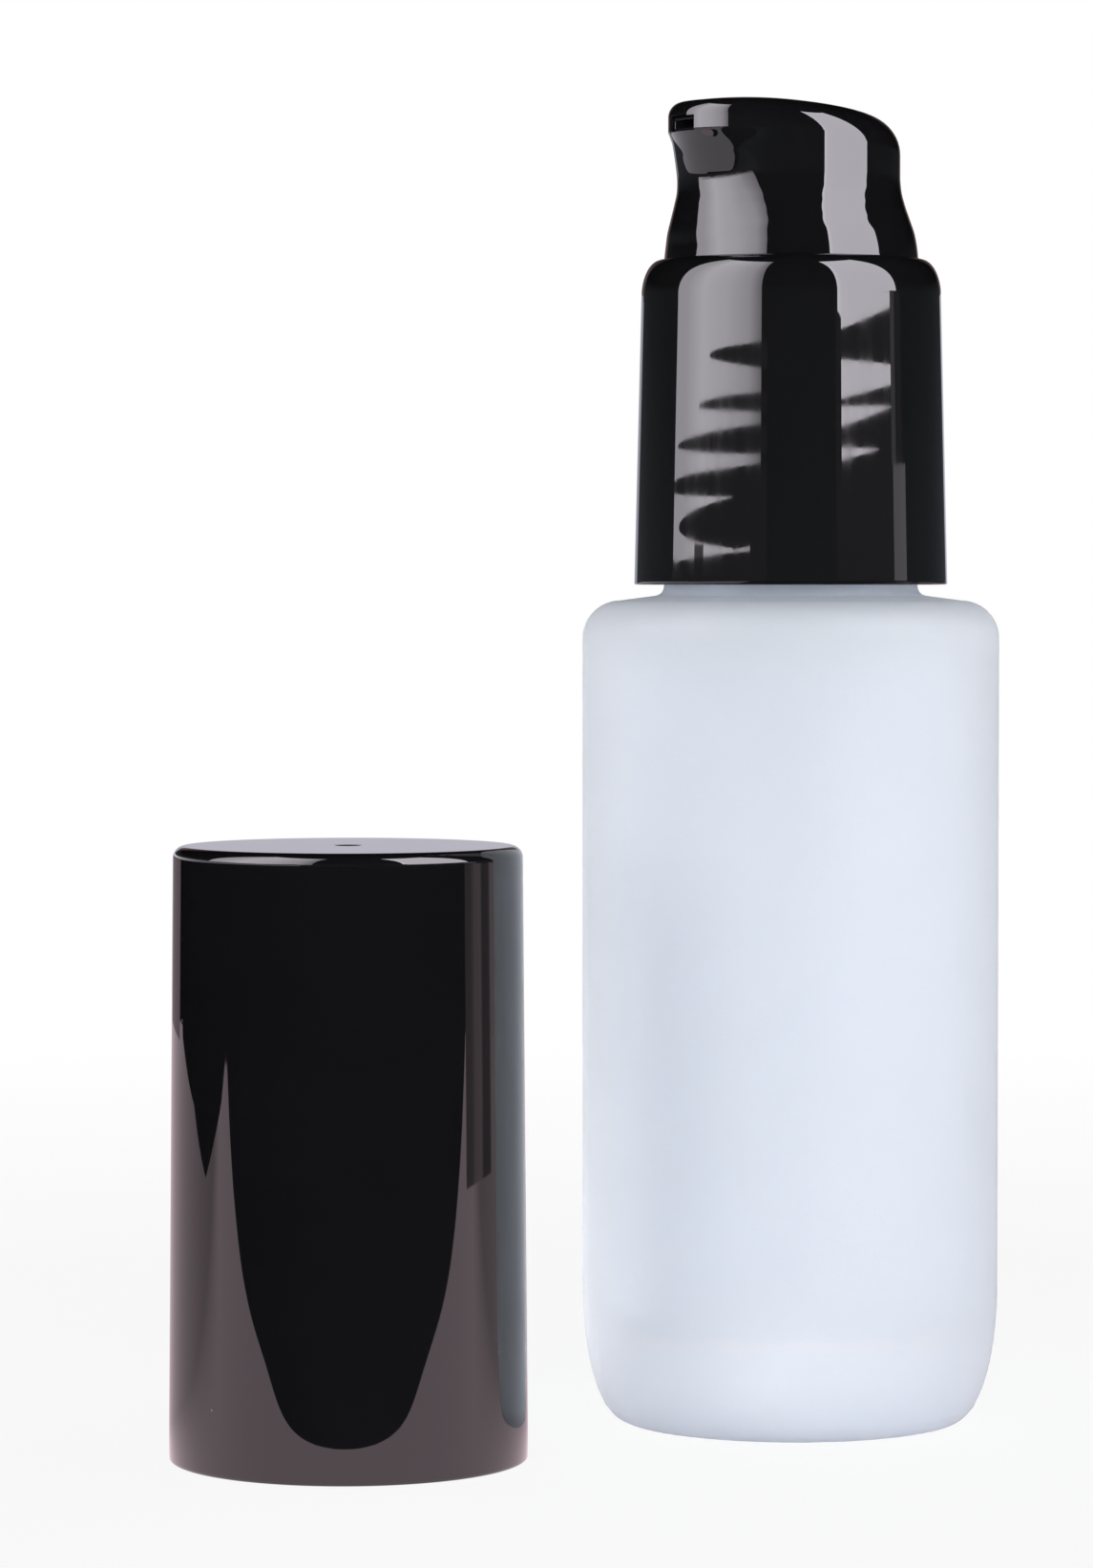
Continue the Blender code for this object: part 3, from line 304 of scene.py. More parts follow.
# The dark end of the room on the left, which reaches over the table: its corners, from the origin
DARK_CORNER_HEIGHT = 0.2 * MM
DARK_CORNER = (
    (-0.450, 0.460),
    (-0.325, 0.279),
    (-0.309, 0.125),
    (-0.247, 0.032),
    (-0.307, 0.001),
    (-0.365, -0.032),
    (-0.450, -0.060),
)
CEILING_REACH = 0.5

# The floor that the camera sees
FLOOR_REACH = 2.0
FLOOR_DROP = 0.02 * MM
FLOOR_PAINT = (0.84, 0.84, 0.84)

# How much of the floor's white is its own, near and far, and the distances of both
FLOOR_OWN_SHARES = (0.90, 1.0)
FLOOR_DISTANCES = (0.12, 0.36)

# Pale cards just above the overcap's height, which only the beak's underside mirrors:
# the corners of each, from the origin
BOUNCE_HEIGHT = 52.0 * MM
BOUNCE_GLOW = 1.2
BOUNCE_CARDS = (
    ((-0.30, -0.30), (-0.17, -0.30), (-0.035, -0.045), (-0.30, -0.045)),
    ((-0.40, -0.045), (-0.06, -0.045), (-0.06, 0.35), (-0.40, 0.35)),
)

# Cards that cut dark gaps into the softboxes' reflections on the collar, and dim strips beside
# them: glow, power of the curve from start to end, start and end azimuth, then the lower and
# upper height on the collar's wall at the start and at the end, in millimetres
FLAG_RADIUS = 0.412
FLAG_SPACING = 0.3 * MM
LEAF, STRAIGHT = 0.5, 1.0
FLAGS = (
    (0.12, LEAF, -66.0, -20.0, (84.1, 84.2), (83.3, 85.4)),
    (0.12, LEAF, -75.0, -20.0, (80.2, 80.3), (79.6, 81.3)),
    (0.12, LEAF, -95.0, -20.0, (77.0, 77.1), (76.4, 78.7)),
    (0.12, LEAF, -99.0, -20.0, (73.5, 74.2), (73.2, 75.8)),
    (0.12, LEAF, -92.5, -42.0, (70.8, 70.9), (68.9, 73.3)),
    (0.12, STRAIGHT, -45.0, -20.0, (68.8, 73.6), (69.4, 74.6)),
    (0.12, STRAIGHT, -32.0, -20.0, (60.0, 70.0), (60.0, 70.0)),
    (0.70, STRAIGHT, -77.0, -69.0, (68.0, 69.5), (68.0, 69.4)),
    (0.12, LEAF, -99.0, -20.0, (60.0, 67.9), (60.0, 68.7)),
    (0.12, STRAIGHT, 31.0, 80.0, (83.8, 85.9), (83.1, 87.6)),
    (0.12, STRAIGHT, 31.0, 80.0, (80.0, 80.5), (79.8, 81.5)),
    (0.12, STRAIGHT, 31.0, 80.0, (76.8, 78.2), (76.5, 79.8)),
    (0.12, STRAIGHT, 31.0, 80.0, (60.0, 75.7), (60.0, 76.9)),
    (0.12, STRAIGHT, 31.0, 35.2, (60.0, 87.6), (60.0, 86.8)),
    (0.12, STRAIGHT, 79.0, 88.0, (60.0, 89.2), (60.0, 89.2)),
    (0.50, STRAIGHT, 77.5, 81.5, (75.3, 89.2), (75.3, 89.2)),
    (1.10, STRAIGHT, 78.6, 91.0, (60.0, 75.3), (60.0, 75.3)),
)

# Soft light from all round for diffuse surfaces: its glow at the horizon and overhead, and the
# share that is left where the overcap stands, with the cosines between which it dims
WORLD_TINT = (0.96, 0.98, 1.0)
WORLD_GLOW = (1.4, 0.08)
WORLD_FALL = (0.0, 0.42)
WORLD_DIM_AZIMUTH = -52.0
WORLD_DIM_COSINES = (0.4, 1.0)
WORLD_DIM_SHARES = (1.0, 0.45)

# Azimuth, distance, height, power and tint of the soft lamps
LAMPS = {
    "lamp_front": (-5.0, 0.9, 0.18, 7.6, (0.91, 0.955, 1.0)),
    "lamp_right": (42.0, 0.9, 0.24, 2.2, (0.94, 0.97, 1.0)),
    "lamp_back_left": (-116.0, 0.9, 0.06, 6.2, WHITE),
    "lamp_back_right": (114.0, 0.9, 0.14, 3.5, WHITE),
}
LAMP_SIZE = 0.6

# Small lamps that lie on the floor on both sides of the overcap and shine upwards, as the pale
# table does there: azimuth, distance, height, power and size
FLOOR_LAMPS = {
    "lamp_floor_back": (-114.0, 0.056, 0.5 * MM, 0.034, 0.055),
    "lamp_floor_front": (-26.0, 0.040, 0.5 * MM, 0.0016, 0.035),
}


def linked(name, data):
    """An object made of this data, in the scene."""
    obj = bpy.data.objects.new(name, data)
    bpy.context.scene.collection.objects.link(obj)
    return obj


def object_from(name, vertices, faces):
    """A smooth shaded mesh object with sharp edges kept sharp."""
    mesh = bpy.data.meshes.new(name)
    mesh.from_pydata([tuple(v) for v in vertices], [], faces)
    mesh.validate()
    mesh.update()
    mesh.shade_smooth()
    mesh.set_sharp_from_angle(angle=math.radians(SHARP_EDGE_DEGREES))
    return linked(name, mesh)


def arc(centre, radii, start, end, steps=CORNER_STEPS):
    """Points along an ellipse, from the start angle to the end angle in degrees."""
    angles = [math.radians(start + (end - start) * i / steps) for i in range(steps + 1)]
    return [(centre[0] + radii[0] * math.cos(a), centre[1] + radii[1] * math.sin(a)) for a in angles]


def round_arc(centre, radius, start, end, steps=CORNER_STEPS):
    """Points along a circle, from the start angle to the end angle in degrees."""
    return arc(centre, (radius, radius), start, end, steps)


def ring_faces(first, second, count):
    """Quads between two closed rings of vertices that start at these indices."""
    return [
        (first + i, first + (i + 1) % count, second + (i + 1) % count, second + i)
        for i in range(count)
    ]


def end_faces(last, count):
    """Faces that close a swept section of this many corners at its start and at its last ring."""
    return [tuple(reversed(range(count))), tuple(range(last, last + count))]


def fan_faces(ring, pole, count):
    """Triangles between a closed ring of vertices that starts at this index and one vertex."""
    return [(ring + i, ring + (i + 1) % count, pole) for i in range(count)]


def flipped(faces):
    """The same faces, seen from their other side."""
    return [tuple(reversed(face)) for face in faces]


def strip_faces(steps):
    """Quads along a strip whose vertices come in pairs, one on each edge."""
    return [(2 * i, 2 * i + 2, 2 * i + 3, 2 * i + 1) for i in range(steps)]


def supported(outline):
    """The closed outline with points added near both ends of its long straight parts.

    They keep the smooth shading of a straight wall from bending towards its rounded ends.
    """
    points = []
    for i, start in enumerate(outline):
        end = outline[(i + 1) % len(outline)]
        length = math.dist(start, end)
        points.append(start)
        if length > 4 * SUPPORT_DISTANCE:
            near = SUPPORT_DISTANCE / length
            for share in (near, 1.0 - near):
                points.append(tuple(a + (b - a) * share for a, b in zip(start, end)))
    return points


def turned(name, outline, axis):
    """A piece turned about a vertical axis from a closed outline of (radius, height) points.

    The outline runs so that the piece lies on its left; points on the axis become poles.
    """
    outline = supported(outline)
    vertices, faces, starts = [], [], []
    for radius, height in outline:
        starts.append(len(vertices))
        count = TURNED_SIDES if radius > 0.0 else 1
        for i in range(count):
            angle = FULL_TURN * i / TURNED_SIDES
            x, y = axis[0] + radius * math.cos(angle), axis[1] + radius * math.sin(angle)
            vertices.append((x, y, height))
    for i, (radius, _) in enumerate(outline):
        j = (i + 1) % len(outline)
        after = outline[j][0]
        if radius > 0.0 and after > 0.0:
            faces += ring_faces(starts[i], starts[j], TURNED_SIDES)
        elif radius > 0.0:
            faces += fan_faces(starts[i], starts[j], TURNED_SIDES)
        elif after > 0.0:
            faces += flipped(fan_faces(starts[j], starts[i], TURNED_SIDES))
    return object_from(name, vertices, faces)


def helical_ridge(buried_radius, axis):
    """Vertices and faces of the neck's thread, fading into the wall at both ends."""
    steps = round(THREAD_TURNS * THREAD_STEPS_PER_TURN)
    vertices, faces = [], []
    for i in range(steps + 1):
        turns = i / THREAD_STEPS_PER_TURN
        angle = FULL_TURN * turns
        height = THREAD_START + THREAD_PITCH * turns
        fade = max(min(turns, THREAD_TURNS - turns) / THREAD_FADE_TURNS, THREAD_END_SHARE)
        crest = buried_radius + (THREAD_CREST_RADIUS - buried_radius) * min(fade, 1.0)
        section = (
            (buried_radius, -THREAD_ROOT / 2),
            (crest, -THREAD_CREST / 2),
            (crest, THREAD_CREST / 2),
            (buried_radius, THREAD_ROOT / 2),
        )
        for radius, rise in section:
            x, y = axis[0] + radius * math.cos(angle), axis[1] + radius * math.sin(angle)
            vertices.append((x, y, height + rise))
    corners = len(section)
    for i in range(steps):
        faces += ring_faces(corners * i, corners * (i + 1), corners)
    return vertices, faces + end_faces(corners * steps, corners)


def joined(target, source):
    """Joins the source object's mesh into the target object."""
    both = [target, source]
    with bpy.context.temp_override(active_object=target, object=target, selected_editable_objects=both):
        bpy.ops.object.join()
    return target


def cut(obj, cutter):
    """Cuts the cutter's shape out of the object and removes the cutter."""
    modifier = obj.modifiers.new("cut", "BOOLEAN")
    modifier.operation = "DIFFERENCE"
    modifier.solver = "EXACT"
    modifier.object = cutter
    evaluated = obj.evaluated_get(bpy.context.evaluated_depsgraph_get())
    mesh = bpy.data.meshes.new_from_object(evaluated)
    obj.modifiers.clear()
    obj.data = mesh
    bpy.data.objects.remove(cutter)
    mesh.shade_smooth()
    mesh.set_sharp_from_angle(angle=math.radians(SHARP_EDGE_DEGREES))


def nozzle_point(along, across, height):
    """A point placed along and across the nozzle's direction from the bottle's axis."""
    cosine, sine = math.cos(NOZZLE_TURN), math.sin(NOZZLE_TURN)
    x = BOTTLE_AXIS[0] + along * cosine - across * sine
    y = BOTTLE_AXIS[1] + along * sine + across * cosine
    return (x, y, height)


def nozzle_block(name, start, end, width, height, middle):
    """A block along the nozzle's direction, centred on the middle height."""
    corners = [
        nozzle_point(along, across * width / 2, middle + up * height / 2)
        for along in (start, end)
        for across, up in ((-1, -1), (1, -1), (1, 1), (-1, 1))
    ]
    return object_from(name, corners, end_faces(4, 4) + ring_faces(0, 4, 4))


# Shapes


def outer_glass():
    """Outline of the glass from the middle of its base, up outside and over the lip."""
    bearing_radius = BODY_RADIUS - HEEL_WIDTH
    bearing_inside = bearing_radius - BEARING_WIDTH
    slope_end = SHOULDER_HEIGHT - SHOULDER_FALL
    ring_radius = NECK_RADIUS + NECK_RING_DEPTH
    ring_top = SHOULDER_HEIGHT + NECK_RING_HEIGHT
    lip_height = NECK_TOP - NECK_LIP
    outline = [
        (0.0, PUSH_UP),
        (PUSH_UP_FLAT_RADIUS, PUSH_UP),
        (bearing_inside - BEARING_ROUND, BEARING_RISE),
        (bearing_inside, 0.0),
    ]
    heel = arc((bearing_radius, HEEL_HEIGHT), (HEEL_WIDTH, HEEL_HEIGHT), -90.0, 0.0, HEEL_STEPS)
    for radius, height in heel:
        near_line = math.exp(-(((height - MOULD_LINE_HEIGHT) / MOULD_LINE_SPREAD) ** 2))
        outline.append((radius + MOULD_LINE_RISE * near_line, height))
    shoulder_centre = (BODY_RADIUS - SHOULDER_RADIUS, slope_end - SHOULDER_RADIUS)
    outline += round_arc(shoulder_centre, SHOULDER_RADIUS, 0.0, 90.0)
    fillet_centre = (ring_radius + NECK_FILLET, SHOULDER_HEIGHT + NECK_FILLET)
    outline += round_arc(fillet_centre, NECK_FILLET, 270.0, 180.0, FILLET_STEPS)
    outline += [(ring_radius, ring_top), (NECK_RADIUS, ring_top + NECK_RING_DEPTH)]
    for lip_radius, start in ((NECK_RADIUS - NECK_LIP, 0.0), (NECK_BORE_RADIUS + NECK_LIP, 90.0)):
        outline += round_arc((lip_radius, lip_height), NECK_LIP, start, start + 90.0, FILLET_STEPS)
    return outline


def inner_glass():
    """Outline of the room for the product, from the neck's bore down to the middle of its floor."""
    ceiling = SHOULDER_HEIGHT - SHOULDER_FALL - GLASS_WALL
    wall = BODY_RADIUS - GLASS_WALL
    fillet_centre = (NECK_BORE_RADIUS + NECK_FILLET, ceiling + NECK_FILLET)
    shoulder_centre = (wall - INNER_SHOULDER_RADIUS, ceiling - INNER_SHOULDER_RADIUS)
    heel_centre = (wall - INNER_HEEL_RADIUS, GLASS_BASE + INNER_HEEL_RADIUS)
    outline = round_arc(fillet_centre, NECK_FILLET, 180.0, 270.0, FILLET_STEPS)
    outline += round_arc(shoulder_centre, INNER_SHOULDER_RADIUS, 90.0, 0.0)
    outline += round_arc(heel_centre, INNER_HEEL_RADIUS, 0.0, -90.0)
    return outline + [(0.0, GLASS_BASE)]


def on_inner_wall(place):
    """Whether this place on the glass belongs to the room for the product."""
    offset = (place.xy - BOTTLE_AXIS).length
    inside_wall = offset < BODY_RADIUS - GLASS_WALL + FACE_TOLERANCE
    above_floor = place.z > GLASS_BASE - FACE_TOLERANCE
    under_neck = offset < NECK_BORE_RADIUS + FACE_TOLERANCE or place.z < SHOULDER_HEIGHT - GLASS_WALL
    return inside_wall and above_floor and under_neck


def make_glass():
    """The glass body, frosted outside and smooth inside, with its neck thread."""
    glass = turned("bottle_glass", outer_glass() + inner_glass(), BOTTLE_AXIS)
    thread = object_from("neck_thread_ridge", *helical_ridge(NECK_RADIUS - THREAD_BITE, BOTTLE_AXIS))
    glass.data.materials.append(frosted_glass())
    glass.data.materials.append(smooth_glass())
    for face in glass.data.polygons:
        if on_inner_wall(face.center):
            face.material_index = 1
    thread.data.materials.append(glass.data.materials[0])
    return joined(glass, thread)


def make_collar():
    """The collar's sleeve, with its rounded top, mouth, inner ledge and snap bead."""
    top_radius = COLLAR_RADIUS - COLLAR_DRAFT
    bore = CLOSURE_RADIUS + SEAT_GAP
    mouth = SKIRT_RADIUS + SLIDING_GAP
    guide_bore = top_radius - COLLAR_GUIDE_WALL
    ledge = CLOSURE_TOP + SEAT_GAP
    lip_bottom = COLLAR_TOP - COLLAR_LIP
    snap_top = CLOSURE_BOTTOM - SEAT_GAP
    snap_bottom = snap_top - SNAP_HEIGHT
    edge = COLLAR_EDGE
    foot_centre = (COLLAR_RADIUS - edge, COLLAR_BOTTOM + edge)
    corner_centre = (top_radius - COLLAR_CORNER, COLLAR_TOP - COLLAR_CORNER_HEIGHT)
    outline = [(bore, COLLAR_BOTTOM + edge), (bore + edge, COLLAR_BOTTOM)]
    outline += round_arc(foot_centre, edge, -90.0, 0.0, COLLAR_EDGE_STEPS)
    outline += arc(corner_centre, (COLLAR_CORNER, COLLAR_CORNER_HEIGHT), 0.0, 90.0, 2 * CORNER_STEPS)
    outline += round_arc((mouth + edge, COLLAR_TOP - edge), edge, 90.0, 180.0, COLLAR_EDGE_STEPS)
    outline += [
        (mouth, lip_bottom),
        (guide_bore, lip_bottom - SEAT_GAP),
        (guide_bore, ledge + COLLAR_FLANGE),
        (mouth, ledge + COLLAR_FLANGE),
        (mouth, ledge),
        (bore, ledge),
        (bore, snap_top),
        (bore - SNAP_BITE, snap_top - SEAT_GAP),
        (bore - SNAP_BITE, snap_bottom),
        (bore, snap_bottom - SNAP_BITE),
    ]
    return turned("collar", outline, BOTTLE_AXIS)


def make_overcap():
    """The overcap, with its moulding gate's mark in the middle of the top."""
    top_radius = OVERCAP_RADIUS - OVERCAP_DRAFT
    bore_radius = OVERCAP_RADIUS - OVERCAP_WALL
    bore_top_radius = top_radius - OVERCAP_WALL
    ceiling = OVERCAP_HEIGHT - OVERCAP_CEILING
    gate_floor = OVERCAP_HEIGHT - GATE_DEPTH
    corner, edge = OVERCAP_CORNER, OVERCAP_RIM_EDGE
    outline = [(0.0, ceiling)]
    outline += round_arc((bore_top_radius - corner, ceiling - corner), corner, 90.0, 0.0)
    outline += round_arc((bore_radius + edge, edge), edge, 180.0, 270.0, OVERCAP_RIM_STEPS)
    outline += round_arc((OVERCAP_RADIUS - edge, edge), edge, 270.0, 360.0, OVERCAP_RIM_STEPS)
    outline += round_arc((top_radius - corner, OVERCAP_HEIGHT - corner), corner, 0.0, 90.0)
    outline += [
        (GATE_RADIUS, OVERCAP_HEIGHT),
        (GATE_RADIUS - GATE_DEPTH / 2, OVERCAP_HEIGHT - GATE_DEPTH / 3),
        (GATE_RADIUS - GATE_DEPTH, gate_floor),
        (GATE_NUB_RADIUS, gate_floor),
        (GATE_NUB_RADIUS, gate_floor + GATE_NUB_HEIGHT),
        (0.0, gate_floor + GATE_NUB_HEIGHT),
    ]
    return turned("overcap_shell", outline, OVERCAP_AXIS)


def beak_radius(angle):
    """Radius of the head at an angle from the nozzle: a circle drawn out to a rounded tip."""
    angle = abs(math.remainder(angle, FULL_TURN))
    flank_angle = math.acos((WAIST_RADIUS - BEAK_TIP_RADIUS) / BEAK_TIP_CENTRE)
    tip_end = math.atan2(
        BEAK_TIP_RADIUS * math.sin(flank_angle), BEAK_TIP_CENTRE + BEAK_TIP_RADIUS * math.cos(flank_angle)
    )
    if angle <= tip_end:
        across = BEAK_TIP_CENTRE * math.sin(angle)
        return BEAK_TIP_CENTRE * math.cos(angle) + math.sqrt(BEAK_TIP_RADIUS**2 - across**2)
    if angle <= flank_angle:
        return WAIST_RADIUS / math.cos(flank_angle - angle)
    return WAIST_RADIUS


def crown_height(x, y):
    """Height of the domed top, whose summit lies towards the nozzle."""
    return ACTUATOR_TOP - ((x - CROWN_SUMMIT) ** 2 + y**2) / (2.0 * CROWN_RADIUS)


def edge_radius(angle, inset):
    """Rounding of the head's upper edge, small at the nozzle and large at the back."""
    at_nozzle = ((1.0 + math.cos(angle)) / 2) ** EDGE_FADE_POWER
    edge = EDGE_AT_BACK + (EDGE_AT_BEAK - EDGE_AT_BACK) * at_nozzle
    return max(edge - inset, EDGE_AT_BEAK / 2)


def side_top(angle, inset):
    """Height where the head's side ends and its rounded upper edge begins."""
    edge = edge_radius(angle, inset)
    radius = beak_radius(angle) - inset - edge
    return crown_height(radius * math.cos(angle), radius * math.sin(angle)) - inset - edge


def flare_slope(row, column):
    """Slope of a column of the flare's steps at this row, which never lets the curve overshoot."""
    rows = FLARE_SHARES
    slopes = []
    for i in (max(row - 1, 0), min(row, len(rows) - 2)):
        slopes.append((rows[i + 1][column] - rows[i][column]) / (rows[i + 1][0] - rows[i][0]))
    if min(slopes) <= 0.0:
        return 0.0
    return 2.0 * slopes[0] * slopes[1] / (slopes[0] + slopes[1])


def smooth_shares(share):
    """Waist share and beak share at a share of the rise, along a smooth curve through the steps."""
    rows = FLARE_SHARES
    if share >= rows[-1][0]:
        return rows[-1][1:]
    i = max(k for k in range(len(rows) - 1) if rows[k][0] <= share)
    low, high = rows[i], rows[i + 1]
    span = high[0] - low[0]
    t = (share - low[0]) / span
    values = []
    for k in (1, 2):
        slope_low, slope_high = (flare_slope(row, k) * span for row in (i, i + 1))
        values.append(
            low[k] * (2 * t**3 - 3 * t**2 + 1)
            + slope_low * (t**3 - 2 * t**2 + t)
            + high[k] * (3 * t**2 - 2 * t**3)
            + slope_high * (t**3 - t**2)
        )
    return values


def skin_ring(radius_at, height_at, inset):
    """Points round the head, moved inwards by the inset, from its radius and height at each angle."""
    points = []
    for i in range(SHELL_SIDES):
        angle = FULL_TURN * i / SHELL_SIDES
        radius = radius_at(angle) - inset
        x, y = radius * math.cos(angle), radius * math.sin(angle)
        points.append((x, y, height_at(angle, x, y)))
    return points


def flare_height(ring_rise, angle, inset):
    """Height of the flare's ring at this rise, lower where the head's side is low."""
    side_rise = min(LIP_RISE, side_top(angle, inset) - FLARE_END_GAP - COLLAR_TOP)
    above_waist = max(ring_rise - WAIST_RISE, 0.0) / (LIP_RISE - WAIST_RISE)
    return COLLAR_TOP + min(ring_rise, WAIST_RISE) + above_waist * (side_rise - WAIST_RISE)


def flare_rings(inset):
    """Rings from the skirt's rim to the beak's lip."""
    steps = [(-SKIRT_DEPTH, 0.0, 0.0)]
    for i in range(FLARE_STEPS + 1):
        share = FLARE_SHARES[-1][0] * i / FLARE_STEPS
        steps.append((HEAD_RISE * share, *smooth_shares(share)))
    rings = []
    for ring_rise, waist_share, beak_share in steps:
        radius = SKIRT_RADIUS + (WAIST_RADIUS - SKIRT_RADIUS) * waist_share
        rings.append(
            skin_ring(
                lambda angle: radius + (beak_radius(angle) - WAIST_RADIUS) * beak_share,
                lambda angle, x, y: flare_height(ring_rise, angle, inset),
                inset,
            )
        )
    return rings


def side_rings(inset):
    """Rings near both ends of the head's side, which keep its shading straight."""
    return [
        skin_ring(
            beak_radius,
            lambda angle, x, y: (1.0 - share) * flare_height(LIP_RISE, angle, inset)
            + share * side_top(angle, inset),
            inset,
        )
        for share in SIDE_SUPPORTS
    ]


def edge_rings(inset):
    """Rings over the head's rounded upper edge."""
    turns = [math.radians(90.0 * i / EDGE_STEPS) for i in range(EDGE_STEPS + 1)]
    return [
        skin_ring(
            lambda angle: beak_radius(angle) - edge_radius(angle, inset) * (1.0 - math.cos(turn)),
            lambda angle, x, y: side_top(angle, inset) + edge_radius(angle, inset) * math.sin(turn),
            inset,
        )
        for turn in turns
    ]


def crown_rings(inset):
    """Rings over the domed top, from its edge towards the middle."""
    shares = [1.0 - i / CROWN_STEPS for i in range(1, CROWN_STEPS)]
    return [
        skin_ring(
            lambda angle: inset + (beak_radius(angle) - inset - edge_radius(angle, inset)) * share,
            lambda angle, x, y: crown_height(x, y) - inset,
            inset,
        )
        for share in shares
    ]


def actuator_skin(inset):
    """Rings of the actuator from the skirt's rim to the crown, and the crown's middle."""
    rings = flare_rings(inset) + side_rings(inset) + edge_rings(inset) + crown_rings(inset)
    return rings, (0.0, 0.0, crown_height(0.0, 0.0) - inset)


def make_actuator():
    """The actuator's shell with the pocket that holds the nozzle's frame."""
    vertices, faces = [], []
    rims = []
    for inset in (0.0, ACTUATOR_WALL):
        rings, pole = actuator_skin(inset)
        first = len(vertices)
        rims.append(first)
        for points in rings:
            vertices += [nozzle_point(*point) for point in points]
        skin = []
        for i in range(len(rings) - 1):
            skin += ring_faces(first + i * SHELL_SIDES, first + (i + 1) * SHELL_SIDES, SHELL_SIDES)
        last = first + (len(rings) - 1) * SHELL_SIDES
        vertices.append(nozzle_point(*pole))
        skin += fan_faces(last, len(vertices) - 1, SHELL_SIDES)
        faces += skin if inset == 0.0 else flipped(skin)
    faces += ring_faces(rims[1], rims[0], SHELL_SIDES)
    shell = object_from("actuator", vertices, faces)
    middle = ACTUATOR_TOP - SLOT_CENTRE_DROP
    start = BEAK_REACH - INSERT_LENGTH - CUT_OVERRUN
    end = BEAK_REACH + CUT_OVERRUN
    width, height = INSERT_WIDTH + INSERT_GAP, INSERT_HEIGHT + INSERT_GAP
    cut(shell, nozzle_block("pocket_cutter", start, end, width, height, middle))
    even = shell.modifiers.new("even_normals", "WEIGHTED_NORMAL")
    even.keep_sharp = True
    return shell


def make_nozzle():
    """The small frame around the nozzle's slot, with softened edges."""
    tip = BEAK_REACH - INSERT_SINK
    back = tip - INSERT_LENGTH
    middle = ACTUATOR_TOP - SLOT_CENTRE_DROP
    frame_block = nozzle_block("nozzle_frame", back, tip, INSERT_WIDTH, INSERT_HEIGHT, middle)
    slot = nozzle_block(
        "slot_cutter", back - CUT_OVERRUN, tip + CUT_OVERRUN, SLOT_WIDTH, SLOT_HEIGHT, middle
    )
    cut(frame_block, slot)
    bevel = frame_block.modifiers.new("softened", "BEVEL")
    bevel.width = INSERT_EDGE
    bevel.segments = INSERT_EDGE_STEPS
    bevel.limit_method = "ANGLE"
    return frame_block


def make_spring():
    """The steel spring's wire, wound with closed ends and swept as a round tube."""
    centre_radius = (SPRING_HIGH.x - SPRING_LOW.x) / 2 - SPRING_WIRE_RADIUS
    low, high = SPRING_LOW.z + SPRING_WIRE_RADIUS, SPRING_HIGH.z - SPRING_WIRE_RADIUS
    steps = SPRING_TURNS * SPRING_POINTS_PER_TURN
    rise = math.atan2((high - low) / SPRING_TURNS, FULL_TURN * centre_radius)
    vertices, faces = [], []
    for i in range(steps + 1):
        angle = FULL_TURN * i / SPRING_POINTS_PER_TURN
        out = Vector((math.cos(angle), math.sin(angle), 0.0))
        level = math.cos(rise)
        along = Vector((-math.sin(angle) * level, math.cos(angle) * level, math.sin(rise)))
        up = along.cross(out) * -1.0
        middle = Vector((*BOTTLE_AXIS, low + (high - low) * i / steps)) + out * centre_radius
        for k in range(SPRING_WIRE_SIDES):
            turn = FULL_TURN * k / SPRING_WIRE_SIDES
            vertices.append(middle + (out * math.cos(turn) + up * math.sin(turn)) * SPRING_WIRE_RADIUS)
    for i in range(steps):
        faces += ring_faces(i * SPRING_WIRE_SIDES, (i + 1) * SPRING_WIRE_SIDES, SPRING_WIRE_SIDES)
    faces += end_faces(steps * SPRING_WIRE_SIDES, SPRING_WIRE_SIDES)
    return object_from("spring_coil", vertices, faces)


# Materials


class Tree:
    """The nodes of a material or a world, with short calls for what looks and light are made of."""

    def __init__(self, owner):
        """Takes the node tree of this material or world."""
        owner.use_nodes = True
        self.nodes = owner.node_tree.nodes
        self.links = owner.node_tree.links

    def feed(self, socket, value):
        """Links this output to the socket, or sets the socket to this plain value."""
        if isinstance(value, bpy.types.NodeSocket):
            self.links.new(value, socket)
        elif socket.type == "RGBA":
            socket.default_value = (*value, 1.0)
        else:
            socket.default_value = value

    def feed_named(self, node, values):
        """Feeds a node's sockets, given by name with underscores for spaces."""
        for name, value in values.items():
            self.feed(node.inputs[name.replace("_", " ")], value)

    def node(self, kind, *values, **named):
        """A node whose first sockets, and those named, take these values or outputs."""
        made = self.nodes.new("ShaderNode" + kind)
        for socket, value in zip(made.inputs, values):
            self.feed(socket, value)
        self.feed_named(made, named)
        return made

    def math(self, operation, first, second):
        """The result of this operation on two numbers or outputs."""
        made = self.node("Math", first, second)
        made.operation = operation
        return made.outputs[0]

    def ranged(self, value, low, high, start=0.3, end=0.7):
        """The value mapped from the start and end of its range to low and high."""
        return self.node("MapRange", value, start, end, low, high).outputs["Result"]

    def seen_directly(self):
        """1 for rays from the camera, from gloss and through glass, and 0 for the light's paths."""
        path = self.node("LightPath").outputs
        seen = self.math("MAXIMUM", path["Is Camera Ray"], path["Is Glossy Ray"])
        return self.math("MAXIMUM", seen, path["Is Transmission Ray"])

    def show(self, shader, target):
        """Makes this shader node the surface of the tree's output of this name."""
        self.feed(self.nodes[target].inputs["Surface"], shader.outputs[0])


